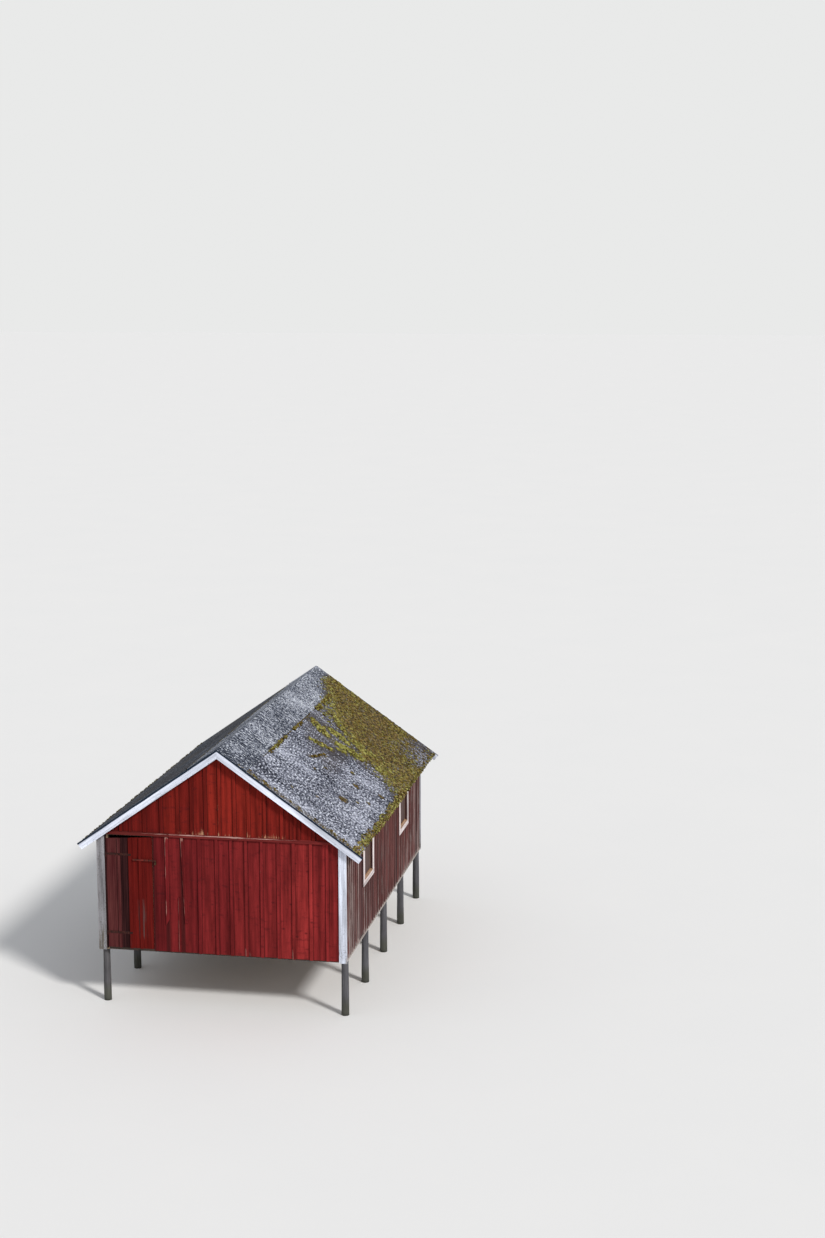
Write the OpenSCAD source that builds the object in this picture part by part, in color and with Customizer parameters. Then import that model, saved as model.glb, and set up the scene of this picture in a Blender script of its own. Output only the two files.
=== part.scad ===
// Small timber boathouse on round posts: framed and boarded walls, a plank door on
// the land gable, boat doors on the water gable and a felted ridge roof.
// Millimetres, Z up. X runs across the house, Y from the land gable to the water gable.
// The origin is the middle of the outline, on the plane of the posts' feet.

/* [House] */
// Width over the side walls' boarding
house_w = 4200; // [3900:50:4800]
// Length over the boarding of the two gables
house_l = 6700; // [6300:50:7600]
// Height from the foot of the walls to the roof surface over the side walls
eave_h = 2010; // [1960:10:2300]
// Height of the foot of the walls above the feet of the posts
foot_h = 950; // [700:10:1300]

/* [Roof] */
// Pitch of the roof in degrees
pitch = 35; // [30:1:40]
// How far the roof reaches over the side walls
eave_over = 250; // [150:10:320]
// How far the bargeboards' tips reach over the side walls
tip_over = 300; // [200:10:380]
// How far the roof reaches over the land gable
front_over = 120; // [90:10:250]
// How far the roof reaches over the water gable
back_over = 260; // [90:10:320]
// Thickness of the roofing felt
felt_t = 5; // [3:1:8]
// Depth of the felt folded down over verges and eaves
felt_lip = 30; // [20:1:45]
// Reach of the ridge strip down each slope
ridge_strip = 600; // [400:10:800]
// Thickness of the roof boards
roof_board_t = 22; // [19:1:30]
// Width of a rafter
rafter_w = 45; // [38:1:60]
// Depth of a rafter
rafter_d = 100; // [90:5:125]
// Height of a rafter left over its seat on the wall plate
seat_heel = 80; // [70:1:90]
// Number of rafter pairs
rafter_n = 11; // [9:1:13]
// Thickness of the ridge board
ridge_board_t = 25; // [20:1:40]
// Depth of the ridge board
ridge_board_d = 150; // [125:5:200]
// Thickness of the bargeboards
barge_t = 22; // [19:1:30]
// Depth of the bargeboards
barge_d = 120; // [100:5:150]

/* [Walls] */
// Thickness of the wall boards
board_t = 22; // [19:1:28]
// Thickness of battens and corner boards
batten_t = 22; // [16:1:28]
// Width of a cover batten
batten_w = 50; // [35:1:65]
// Spacing of the battens on the gables
gable_pitch = 260; // [180:5:320]
// Spacing of the battens on the side walls
side_pitch = 150; // [120:5:220]
// Height of the strip along the foot of each side, which the battens stand on
foot_strip_h = 24; // [10:1:60]
// Width of the corner boards
corner_w = 130; // [100:5:150]
// Height of the drip rail's middle above the foot of the walls
rail_z = 1990; // [1970:5:2040]
// Height of the drip rail
rail_h = 58; // [45:1:75]
// Thickness of the drip rail
rail_t = 30; // [24:1:40]

/* [Frame] */
// Side of a square stud
stud = 75; // [63:1:100]
// Height of a wall plate
plate_h = 100; // [75:5:125]
// Side of a square sill beam
sill = 120; // [110:5:160]
// How far the sill beams show below the wall boards
sill_show = 20; // [0:5:40]
// Width of a floor joist
joist_w = 45; // [38:1:60]
// How far a joist's end is housed in the sill beam
joist_housing = 40; // [20:1:45]
// Thickness of the floor boards
floor_t = 28; // [22:1:40]
// Width of a tie beam
tie_w = 45; // [38:1:60]
// Height of a tie beam
tie_h = 125; // [100:5:150]
// How deep a tie beam is notched over the plates
tie_notch = 25; // [10:1:40]
// Height of the beam behind the drip rail
gable_beam_h = 100; // [80:5:120]

/* [Posts] */
// Number of posts on each side
post_n = 5; // [4:1:7]
// Diameter of a post at its top
post_top_d = 125; // [110:5:180]
// Diameter of a post at its foot
post_foot_d = 140; // [110:5:200]
// Distance from a gable to the middle of the nearest post
post_inset = 150; // [100:5:250]
// How far the posts stand outside the middle of the side sills
post_out = 34; // [0:2:50]

/* [Door] */
// Distance from the house's corner to the door's hinge edge
door_in = 164; // [164:2:400]
// Width of the door leaf
door_w = 780; // [700:5:950]
// Height of the door's lower edge above the foot of the walls
door_foot = 30; // [10:5:60]
// Height of the door's upper edge above the foot of the walls, at the hinge side
door_top = 1885; // [1800:5:1900]
// How much higher the door's upper edge is at the lock side
door_rise = 50; // [0:5:50]
// Clearance between the door leaf and what is round it
door_gap = 6; // [5:0.5:10]
// How far the door posts reach behind the leaf's edges
stop_lap = 20; // [12:1:30]
// Height of a door ledge
ledge_h = 120; // [90:5:160]
// Thickness of the ledges and the brace
ledge_t = 25; // [20:1:32]
// Height of a ledge's middle above or below the leaf's edge
ledge_inset = 260; // [200:5:400]

/* [Boat doors] */
// Width of the pair of boat doors
boat_door_w = 2400; // [1800:20:2600]

/* [Hinges and lock] */
// Length of a strap hinge
strap_l = 420; // [300:5:500]
// Height of a strap hinge
strap_h = 40; // [30:1:50]
// Thickness of the iron straps
iron_t = 4; // [3:0.5:5]
// Diameter of a hinge pin
pin_d = 12; // [10:1:14]
// Radial clearance of the pin in the strap's eye
pin_fit = 0.2; // [0.1:0.05:0.5]
// Length of the hasp bar
hasp_l = 400; // [340:5:440]
// Height of the hasp bar
hasp_h = 26; // [24:1:45]
// Height of the hasp above the foot of the walls
hasp_z = 1548; // [1300:2:1600]

/* [Windows] */
// Distance from a gable to the middle of the nearest window
window_in = 1755; // [1500:5:1900]
// Width of a window opening
window_w = 670; // [500:5:700]
// Height of a window opening
window_h = 580; // [450:5:640]
// Height of a window opening's lower edge above the foot of the walls
window_z = 960; // [850:5:1050]
// Width of the casing boards
casing_w = 95; // [70:5:120]
// Thickness of the casing boards
casing_t = 30; // [24:1:40]
// How far the window sill stands out of the casing
window_sill_out = 6; // [4:1:40]
// Thickness of the boards that close a window
panel_t = 20; // [16:1:28]

/* [Hidden] */

// Clearance between fitted timbers, and between the layers of the roof
fit = 0.3;
// Clearance of the side boards round a rafter
notch_fit = 3;
$fn = 48;

// Planes of the walls
half_w = house_w / 2;
side_face = half_w - batten_t;
frame_x = side_face - board_t;
inner_x = frame_x - stud;
y_front = -(house_l + back_over - front_over) / 2;
y_back = y_front + house_l;
frame_y0 = y_front + board_t;
frame_y1 = y_back - board_t;
inner_y0 = frame_y0 + stud;
inner_y1 = frame_y1 - stud;
roof_y0 = y_front - front_over;
roof_y1 = y_back + back_over;

// Heights
ridge_z = foot_h + eave_h + half_w * tan(pitch);
sill_z0 = foot_h - sill_show;
sill_z1 = sill_z0 + sill;
floor_z = sill_z1 + floor_t;
rail_mid = foot_h + rail_z;
beam_z0 = rail_mid - gable_beam_h / 2;

// Depths below the roof surface, square to it
v_board = felt_t + fit;
v_rafter = v_board + roof_board_t + fit;
v_under = v_rafter + rafter_d;
u_eave = (half_w + eave_over) / cos(pitch);
u_tip = (half_w + tip_over) / cos(pitch);
plate_z1 = plane_z(frame_x, v_rafter) - seat_heel;
plate_z0 = plate_z1 - plate_h;
ridge_board_z1 = plane_z(ridge_board_t / 2, v_rafter);
ridge_board_z0 = ridge_board_z1 - ridge_board_d;

// Door leaf, its hinge axis and the hasp
door_x0 = door_in - half_w;
door_x1 = door_x0 + door_w;
leaf_y0 = y_front - door_gap;
leaf_y1 = leaf_y0 + board_t;
door_z0 = foot_h + door_foot;
door_z1 = foot_h + door_top;
eye_r = pin_d / 2 + pin_fit + iron_t;
hinge_x = door_x0 - eye_r - iron_t;
hinge_y = leaf_y0 - eye_r;
strap_z = [door_z0 + ledge_inset, door_z1 - ledge_inset];
hasp_mid = foot_h + hasp_z;
hasp_y1 = leaf_y0 - batten_t;
hasp_y0 = hasp_y1 - iron_t;
hasp_over = 75;
hasp_x1 = door_x1 + hasp_over;
hasp_x0 = hasp_x1 - hasp_l;

// A point on the right-hand slope: u down the slope, v square to it and inward
function slope_pt(u, v) = [
    u * cos(pitch) - v * sin(pitch),
    ridge_z - u * sin(pitch) - v * cos(pitch)
];
// Where the plane at depth v meets the upright plane at x
function slope_u(x, v) = (x + v * sin(pitch)) / cos(pitch);
// Height at x of the plane at depth v
function plane_z(x, v) = ridge_z - abs(x) * tan(pitch) - v / cos(pitch);
// Middle of rafter i along the house
function rafter_y(i) = frame_y0 + rafter_w / 2
    + i * (frame_y1 - frame_y0 - rafter_w) / (rafter_n - 1);
// Middle of post i along the house
function post_y(i) = y_front + post_inset + i * (house_l - 2 * post_inset) / (post_n - 1);
// Middles of the two windows along the house
window_y = [y_front + window_in, y_back - window_in];
// Whether a stud at y would stand in or beside a window opening
function at_window(y) = min([for (w = window_y) abs(y - w)]) < window_w / 2 + 1.5 * stud;

module along_y(y0, y1) {
    translate([0, y1, 0]) rotate([90, 0, 0]) linear_extrude(height = y1 - y0) children();
}
module along_x(x0, x1) {
    translate([x0, 0, 0]) rotate([90, 0, 90]) linear_extrude(height = x1 - x0) children();
}
module block(x, y, z) {
    translate([x[0], y[0], z[0]]) cube([x[1] - x[0], y[1] - y[0], z[1] - z[0]]);
}
module both_sides() {
    children();
    mirror([1, 0, 0]) children();
}
// A band of the right-hand slope from the upright plane at x to the distance u
module slope_band(x, u, v0, v1) {
    polygon([
        slope_pt(slope_u(x, v0), v0), slope_pt(u, v0),
        slope_pt(u, v1), slope_pt(slope_u(x, v1), v1)
    ]);
}
// Everything below the roof's plane at depth v
module below_roof(v) {
    reach = half_w + eave_over;
    polygon([
        [-reach, 0], [reach, 0], [reach, plane_z(reach, v)],
        [0, plane_z(0, v)], [-reach, plane_z(reach, v)]
    ]);
}

module post(y) {
    x = frame_x - sill / 2 + post_out;
    translate([x, y, 0]) cylinder(h = sill_z0, d1 = post_foot_d, d2 = post_top_d);
}
module posts_right() {
    color("dimgray") for (i = [0 : post_n - 1]) post(post_y(i));
}
module posts_left() {
    mirror([1, 0, 0]) posts_right();
}

// The joists' ends are housed in the side sills, the end sills are halved over them
module joist(y, grow) {
    w = joist_w / 2 + grow;
    end_x = frame_x - sill + joist_housing + grow;
    block([-end_x, end_x], [y - w, y + w], [sill_z0 + sill / 4, sill_z1 + grow]);
}
module floor_joists() {
    color("sienna") for (i = [1 : rafter_n - 2]) joist(rafter_y(i), 0);
}
module side_sills() {
    color("sienna") both_sides() difference() {
        block([frame_x - sill, frame_x], [frame_y0, frame_y1], [sill_z0, sill_z1]);
        for (y = [frame_y0, frame_y1])
            block([frame_x - sill - 1, frame_x + 1], [y - sill - fit, y + sill + fit],
                [sill_z0 + sill / 2, sill_z1 + 1]);
        for (i = [1 : rafter_n - 2]) joist(rafter_y(i), fit);
    }
}
module end_sills() {
    color("sienna") for (y = [frame_y0, frame_y1 - sill]) difference() {
        block([-frame_x, frame_x], [y, y + sill], [sill_z0, sill_z1]);
        both_sides() block([frame_x - sill - fit, frame_x + 1], [y - 1, y + sill + 1],
            [sill_z0 - 1, sill_z0 + sill / 2]);
    }
}
module floor() {
    color("peru") block([-inner_x + fit, inner_x - fit], [inner_y0 + fit, inner_y1 - fit],
        [sill_z1, floor_z]);
}

module upright(x, y, z0, z1) {
    block([x, x + stud], [y, y + stud], [z0, z1]);
}
// Studs stand on the sill under the plate, doubled beside the windows
module side_studs() {
    color("burlywood") both_sides() {
        upright(inner_x, frame_y0, sill_z1, plate_z0);
        upright(inner_x, frame_y1 - stud, sill_z1, plate_z0);
        for (i = [1 : rafter_n - 2])
            if (!at_window(rafter_y(i)))
                upright(inner_x, rafter_y(i) - stud / 2, sill_z1, plate_z0);
        for (y = window_y) window_frame(y);
    }
}
// Two studs with a rail under and over the opening
module window_frame(y) {
    half = window_w / 2;
    z = foot_h + window_z;
    difference() {
        block([inner_x, frame_x], [y - half - stud, y + half + stud], [sill_z1, plate_z0]);
        block([inner_x - 1, frame_x + 1], [y - half, y + half], [z, z + window_h]);
        block([inner_x - 1, frame_x + 1], [y - half, y + half], [sill_z1 - 1, z - stud]);
        block([inner_x - 1, frame_x + 1], [y - half, y + half],
            [z + window_h + stud, plate_z0 + 1]);
    }
}
module wall_plates() {
    color("burlywood") both_sides()
        block([inner_x, frame_x], [frame_y0, frame_y1], [plate_z0, plate_z1]);
}
// The beams behind the drip rails end under the outer rafters
module gable_beams() {
    color("burlywood") for (y = [frame_y0, frame_y1 - stud]) intersection() {
        block([-half_w, half_w], [y, y + stud], [beam_z0, beam_z0 + gable_beam_h]);
        along_y(y, y + stud) below_roof(v_under + fit);
    }
}
boat_post_x = boat_door_w / 2 - stop_lap;
gable_stud_x = 900;
module gable_studs() {
    color("burlywood") {
        intersection() {
            block([-inner_x, door_x0 + stop_lap], [frame_y0, inner_y0], [sill_z1, beam_z0]);
            along_y(frame_y0, inner_y0) below_roof(v_under + fit);
        }
        for (x = [door_x1 - stop_lap, 0, gable_stud_x])
            upright(x, frame_y0, sill_z1, beam_z0);
        both_sides() upright(boat_post_x, frame_y1 - stud, sill_z1, beam_z0);
        for (y = [frame_y0, frame_y1 - stud]) upper_studs(y);
    }
}
// Studs over the gable beam, cut to the rafters, with the middle one under the ridge board
module upper_studs(y) {
    z0 = beam_z0 + gable_beam_h;
    intersection() {
        both_sides() upright(gable_stud_x, y, z0, ridge_z);
        along_y(y, y + stud) below_roof(v_under + fit);
    }
    intersection() {
        upright(-stud / 2, y, z0, ridge_board_z0);
        along_y(y, y + stud) below_roof(v_under + fit);
    }
}
// Ties lie beside a rafter, notched over both plates
module tie_beam(i) {
    y = rafter_y(i) + rafter_w / 2;
    z = plate_z1 - tie_notch;
    difference() {
        intersection() {
            block([-half_w, half_w], [y, y + tie_w], [z, z + tie_h]);
            along_y(y, y + tie_w) below_roof(v_rafter);
            block([-frame_x, frame_x], [y, y + tie_w], [z, z + tie_h]);
        }
        both_sides() block([inner_x, half_w], [y - 1, y + tie_w + 1], [z - 1, plate_z1]);
    }
}
tie_step = 3;
module tie_beams() {
    color("burlywood") for (i = [2 : tie_step : rafter_n - 3]) tie_beam(i);
}

// A rafter with its birdsmouth over the plate, butted to the ridge board
module rafter_outline() {
    tail = u_eave - felt_t - 25;
    difference() {
        slope_band(ridge_board_t / 2, tail, v_rafter, v_under);
        translate([inner_x - stud, plate_z1 - plate_h]) square([2 * stud, plate_h]);
    }
}
module rafters_right() {
    color("burlywood") for (i = [0 : rafter_n - 1])
        along_y(rafter_y(i) - rafter_w / 2, rafter_y(i) + rafter_w / 2) rafter_outline();
}
module rafters_left() {
    mirror([1, 0, 0]) rafters_right();
}
module ridge_board() {
    color("burlywood") block([-ridge_board_t / 2, ridge_board_t / 2], [frame_y0, frame_y1],
        [ridge_board_z0, ridge_board_z1]);
}
module roof_boards_right() {
    color("tan") along_y(roof_y0 + felt_t + barge_t, roof_y1 - felt_t - barge_t)
        slope_band(0, u_eave - felt_t - fit, v_board, v_board + roof_board_t);
}
module roof_boards_left() {
    mirror([1, 0, 0]) roof_boards_right();
}
// The felt is folded down over the eave and over the bargeboards to their tips
module roof_felt_right() {
    color("slategray") {
        along_y(roof_y0, roof_y1) slope_band(0, u_eave, 0, felt_t);
        along_y(roof_y0 + felt_t + barge_t, roof_y1 - felt_t - barge_t) polygon([
            slope_pt(u_eave - felt_t, 0), slope_pt(u_eave, 0),
            slope_pt(u_eave, felt_lip), slope_pt(u_eave - felt_t, felt_lip)
        ]);
        for (y = [roof_y0, roof_y1 - felt_t])
            along_y(y, y + felt_t) slope_band(0, u_tip, 0, felt_lip);
        for (y = [roof_y0, roof_y1 - felt_t - barge_t])
            along_y(y, y + felt_t + barge_t) slope_band(0, u_tip, 0, felt_t);
    }
}
module roof_felt_left() {
    mirror([1, 0, 0]) roof_felt_right();
}
// The ridge strip is one bent sheet that lies on the felt of both slopes
module ridge_felt() {
    top = -fit - felt_t;
    edge = [slope_pt(ridge_strip, top), slope_pt(ridge_strip, -fit)];
    color("gray") along_y(roof_y0, roof_y1) polygon([
        [0, plane_z(0, top)], edge[0], edge[1],
        [0, plane_z(0, -fit)], [-edge[1][0], edge[1][1]], [-edge[0][0], edge[0][1]]
    ]);
}
// Two boards that meet in an upright joint under the ridge
module bargeboards(y) {
    color("white") both_sides()
        along_y(y, y + barge_t) slope_band(fit / 2, u_tip - felt_t, v_board, v_board + barge_d);
}
module bargeboards_front() {
    bargeboards(roof_y0 + felt_t);
}
module bargeboards_back() {
    bargeboards(roof_y1 - felt_t - barge_t);
}

module front_wall_left() {
    color("firebrick") block([-side_face, door_x0 - door_gap], [y_front, frame_y0],
        [foot_h, rail_mid]);
}
module front_wall_right() {
    color("firebrick") wall_under_roof([door_x1 + door_gap, side_face], [y_front, frame_y0],
        [foot_h, rail_mid]);
}
module wall_under_roof(x, y, z) {
    intersection() {
        block(x, y, z);
        along_y(y[0], y[1]) below_roof(v_rafter);
    }
}
module front_gable() {
    color("firebrick") wall_under_roof([-side_face, side_face], [y_front, frame_y0],
        [rail_mid, ridge_z]);
}
module back_wall_right() {
    color("firebrick") wall_under_roof([boat_door_w / 2 + door_gap, side_face],
        [frame_y1, y_back], [foot_h, rail_mid]);
}
module back_wall_left() {
    mirror([1, 0, 0]) back_wall_right();
}
module back_gable() {
    color("firebrick") wall_under_roof([-side_face, side_face], [frame_y1, y_back],
        [rail_mid, ridge_z]);
}
// The side boards reach up between the rafters to the roof boards
module right_wall() {
    color("brown") difference() {
        along_y(frame_y0, frame_y1) polygon([
            [frame_x, foot_h], [side_face, foot_h],
            [side_face, plane_z(side_face, v_rafter)], [frame_x, plane_z(frame_x, v_rafter)]
        ]);
        for (i = [0 : rafter_n - 1])
            along_y(rafter_y(i) - rafter_w / 2 - notch_fit, rafter_y(i) + rafter_w / 2 + notch_fit)
                slope_band(0, u_eave, 0, v_under + notch_fit);
        for (y = window_y)
            block([frame_x - 1, side_face + 1], [y - window_w / 2, y + window_w / 2],
                [foot_h + window_z, foot_h + window_z + window_h]);
    }
}
module left_wall() {
    mirror([1, 0, 0]) right_wall();
}

// A rail with a sloping top that sheds water off the lower boards
module rail_outline() {
    polygon([
        [0, -rail_h / 2], [-rail_t, -rail_h / 2], [-rail_t, rail_h / 4], [0, rail_h / 2]
    ]);
}
rail_reach = half_w - corner_w;
module drip_rails() {
    color("indianred") {
        along_x(-rail_reach, rail_reach) translate([y_front, rail_mid]) rail_outline();
        along_x(-rail_reach, rail_reach) translate([y_back, rail_mid]) mirror([1, 0])
            rail_outline();
    }
}
// Upright battens at one spacing between x0 and x1, from z0 up to z1 or the roof
module batten_row(x0, x1, y, z0, z1) {
    n = floor((x1 - x0 - batten_w) / gable_pitch);
    for (i = [1 : n]) {
        x = x0 + i * (x1 - x0) / (n + 1);
        wall_under_roof([x - batten_w / 2, x + batten_w / 2], [y, y + batten_t], [z0, z1]);
    }
}
module gable_battens() {
    low = [foot_h, rail_mid - rail_h / 2];
    high = [rail_mid + rail_h / 2, ridge_z];
    color("firebrick") {
        batten_row(door_x1, rail_reach, y_front - batten_t, low[0], low[1]);
        batten_row(-rail_reach, rail_reach, y_front - batten_t, high[0], high[1]);
        batten_row(boat_door_w / 2, rail_reach, y_back, low[0], low[1]);
        batten_row(-rail_reach, -boat_door_w / 2, y_back, low[0], low[1]);
        batten_row(-rail_reach, rail_reach, y_back, high[0], high[1]);
    }
}
// Side battens run from the foot strip up under the rafters, and stop at the window casings
module side_battens() {
    n = round((house_l - batten_w) / side_pitch);
    top = plane_z(half_w, v_under) - notch_fit;
    color("brown") both_sides() difference() {
        union() {
            for (i = [0 : n]) {
                y = y_front + i * (house_l - batten_w) / n;
                block([side_face, half_w], [y, y + batten_w], [foot_h + foot_strip_h + fit, top]);
            }
            block([side_face, half_w], [y_front, y_back], [foot_h, foot_h + foot_strip_h]);
        }
        for (y = window_y) window_outline(y, fit);
    }
}
// The space that a window's casing takes up on the wall
module window_outline(y, grow) {
    w = window_w / 2 + casing_w + grow;
    z = foot_h + window_z;
    block([side_face - 1, half_w + casing_t], [y - w, y + w],
        [z - casing_w - grow, z + window_h + casing_w + grow]);
}
module window_casing(y) {
    w = window_w / 2;
    z = foot_h + window_z;
    difference() {
        union() {
            block([side_face, side_face + casing_t], [y - w - casing_w, y + w + casing_w],
                [z - casing_w, z + window_h + casing_w]);
            translate([0, y - w, 0]) rotate([-90, 0, 0]) linear_extrude(height = 2 * w)
                polygon([
                    [side_face, -z], [side_face + casing_t + window_sill_out, -z + 12],
                    [side_face + casing_t + window_sill_out, -z + 36], [side_face, -z + 36]
                ]);
        }
        block([side_face - 1, half_w + 2 * casing_t], [y - w, y + w], [z, z + window_h]);
    }
}
module window_casings() {
    color("antiquewhite") both_sides() for (y = window_y) window_casing(y);
}
module window_panels() {
    z = foot_h + window_z;
    color("rosybrown") both_sides() for (y = window_y)
        block([frame_x - panel_t, frame_x],
            [y - window_w / 2 + fit, y + window_w / 2 - fit], [z + fit, z + window_h - fit]);
}
module corner_boards() {
    color("white") both_sides() for (y = [y_front - batten_t, y_back])
        wall_under_roof([half_w - corner_w, half_w], [y, y + batten_t], [sill_z0, ridge_z]);
}
// The boat doors, each with its ledges, stand closed
module boat_doors() {
    x = [door_gap / 2, boat_door_w / 2 - door_gap];
    color("firebrick") both_sides() {
        block(x, [y_back - board_t, y_back], [door_z0, door_z1 + door_rise]);
        for (z = strap_z)
            block([x[0] + stud, boat_post_x - door_gap],
                [y_back - board_t - ledge_t, y_back - board_t],
                [z - ledge_h / 2, z + ledge_h / 2]);
    }
}

module door_leaf() {
    color("firebrick") along_y(leaf_y0, leaf_y1) leaf_outline();
}
// The leaf seen from the front, with its top out of level
module leaf_outline() {
    polygon([
        [door_x0, door_z0], [door_x1, door_z0],
        [door_x1, door_z1 + door_rise], [door_x0, door_z1]
    ]);
}
// Two ledges and the brace that carries the lock side down to the hinge side
ledge_x0 = door_x0 + stop_lap + door_gap;
ledge_x1 = door_x1 - stop_lap - door_gap;
module door_ledges() {
    color("brown") along_y(leaf_y1, leaf_y1 + ledge_t) {
        for (z = strap_z)
            translate([ledge_x0, z - ledge_h / 2]) square([ledge_x1 - ledge_x0, ledge_h]);
        polygon([
            [ledge_x0, strap_z[0]], [ledge_x0 + ledge_h, strap_z[0]],
            [ledge_x1, strap_z[1]], [ledge_x1 - ledge_h, strap_z[1]]
        ]);
    }
}
// Cover battens of the leaf, with packers for the hasp and gaps for the straps
door_batten_at = [0.275, 0.515, 0.741];
module door_battens() {
    row = [for (part = door_batten_at) door_x0 + door_w * part];
    color("firebrick") difference() {
        union() {
            along_y(leaf_y0 - batten_t, leaf_y0) intersection() {
                leaf_outline();
                for (x = row)
                    translate([x - batten_w / 2, door_z0])
                        square([batten_w, door_z1 + door_rise - door_z0]);
            }
            block([door_x1 - batten_w, door_x1], [leaf_y0 - batten_t, leaf_y0],
                [hasp_mid - hasp_h, hasp_mid + hasp_h]);
        }
        for (z = strap_z)
            block([door_x0 - 1, door_x0 + strap_l], [leaf_y0 - batten_t - 1, leaf_y0 + 1],
                [z - strap_h / 2 - fit, z + strap_h / 2 + fit]);
    }
}
// A strap with its eye rolled outward round the pin
module hinge_strap(z) {
    difference() {
        union() {
            block([hinge_x, door_x0 + strap_l - strap_h / 2], [leaf_y0 - iron_t, leaf_y0],
                [z - strap_h / 2, z + strap_h / 2]);
            translate([door_x0 + strap_l - strap_h / 2, leaf_y0, z]) rotate([90, 0, 0])
                cylinder(h = iron_t, d = strap_h);
            translate([hinge_x, hinge_y, z - strap_h / 2]) cylinder(h = strap_h, r = eye_r);
        }
        translate([hinge_x, hinge_y, z - strap_h / 2 - 1])
            cylinder(h = strap_h + 2, r = pin_d / 2 + pin_fit);
    }
}
module hinge_straps() {
    color("dimgray") for (z = strap_z) hinge_strap(z);
}
// A pin on a plate that is nailed to the boards beside the door
module hinge_pintle(z) {
    seat = z - strap_h / 2 - fit;
    foot = seat - 2 * pin_d;
    translate([hinge_x, hinge_y, foot]) cylinder(h = strap_h + 2 * pin_d + pin_d / 2, d = pin_d);
    block([hinge_x - pin_d / 2, hinge_x + pin_d / 2], [hinge_y, y_front], [foot, seat]);
    block([hinge_x - pin_d, hinge_x + pin_d], [y_front - iron_t, y_front],
        [foot - pin_d, seat]);
}
module hinge_pintles() {
    color("dimgray") for (z = strap_z) hinge_pintle(z);
}

// The hasp bar has a slot for the staple and a hole for the padlock
slot_l = 36;
slot_h = 14;
slot_x = hasp_x1 - 50;
lock_hole_d = 12;
lock_x = hasp_x1 - 14;
lock_z = hasp_mid - 2;
module hasp() {
    color("dimgray") difference() {
        block([hasp_x0, hasp_x1], [hasp_y0, hasp_y1], [hasp_mid - hasp_h / 2, hasp_mid + hasp_h / 2]);
        block([slot_x - slot_l / 2, slot_x + slot_l / 2], [hasp_y0 - 1, hasp_y1 + 1],
            [hasp_mid - slot_h / 2, hasp_mid + slot_h / 2]);
        translate([lock_x, hasp_y1 + 1, lock_z]) rotate([90, 0, 0])
            cylinder(h = iron_t + 2, d = lock_hole_d);
    }
}
rod_d = 7;
staple_r = 9;
staple_out = 44;
// A bent rod on the wall that stands out through the hasp's slot
module staple() {
    color("dimgray") translate([slot_x, y_front, hasp_mid]) {
        for (side = [-1, 1])
            translate([side * staple_r, 0, 0]) rotate([90, 0, 0])
                cylinder(h = staple_out - staple_r, d = rod_d);
        translate([0, staple_r - staple_out, 0]) rotate([0, 0, 180])
            rotate_extrude(angle = 180) translate([staple_r, 0]) circle(d = rod_d);
    }
}
shackle_r = 14;
padlock_w = 42;
padlock_h = 40;
padlock_t = 20;
// The padlock hangs open from the hasp, so it goes with the door
module padlock() {
    crown = lock_z - lock_hole_d / 2 + rod_d / 2 + 2 * fit;
    arc_z = crown - shackle_r;
    body_z1 = arc_z - 10;
    color("darkkhaki") translate([lock_x, (hasp_y0 + hasp_y1) / 2, 0]) {
        translate([0, 0, arc_z]) rotate([0, 0, 90]) rotate([90, 0, 0])
            rotate_extrude(angle = 180) translate([shackle_r, 0]) circle(d = rod_d);
        for (side = [-1, 1])
            translate([0, side * shackle_r, body_z1 - 5]) cylinder(h = arc_z - body_z1 + 5, d = rod_d);
        block([-padlock_t / 2, padlock_t / 2], [-padlock_w / 2, padlock_w / 2],
            [body_z1 - padlock_h, body_z1]);
    }
}

posts_left();
posts_right();
side_sills();
end_sills();
floor_joists();
floor();
side_studs();
gable_studs();
wall_plates();
gable_beams();
tie_beams();
rafters_left();
rafters_right();
ridge_board();
roof_boards_left();
roof_boards_right();
roof_felt_left();
roof_felt_right();
ridge_felt();
bargeboards_front();
bargeboards_back();
front_wall_left();
front_wall_right();
front_gable();
back_wall_left();
back_wall_right();
back_gable();
left_wall();
right_wall();
drip_rails();
gable_battens();
side_battens();
corner_boards();
window_casings();
window_panels();
boat_doors();
door_leaf();
door_ledges();
door_battens();
hinge_straps();
hinge_pintles();
hasp();
staple();
padlock();
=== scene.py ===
import math
import random

import bpy
from mathutils import Matrix, Vector, noise


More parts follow.
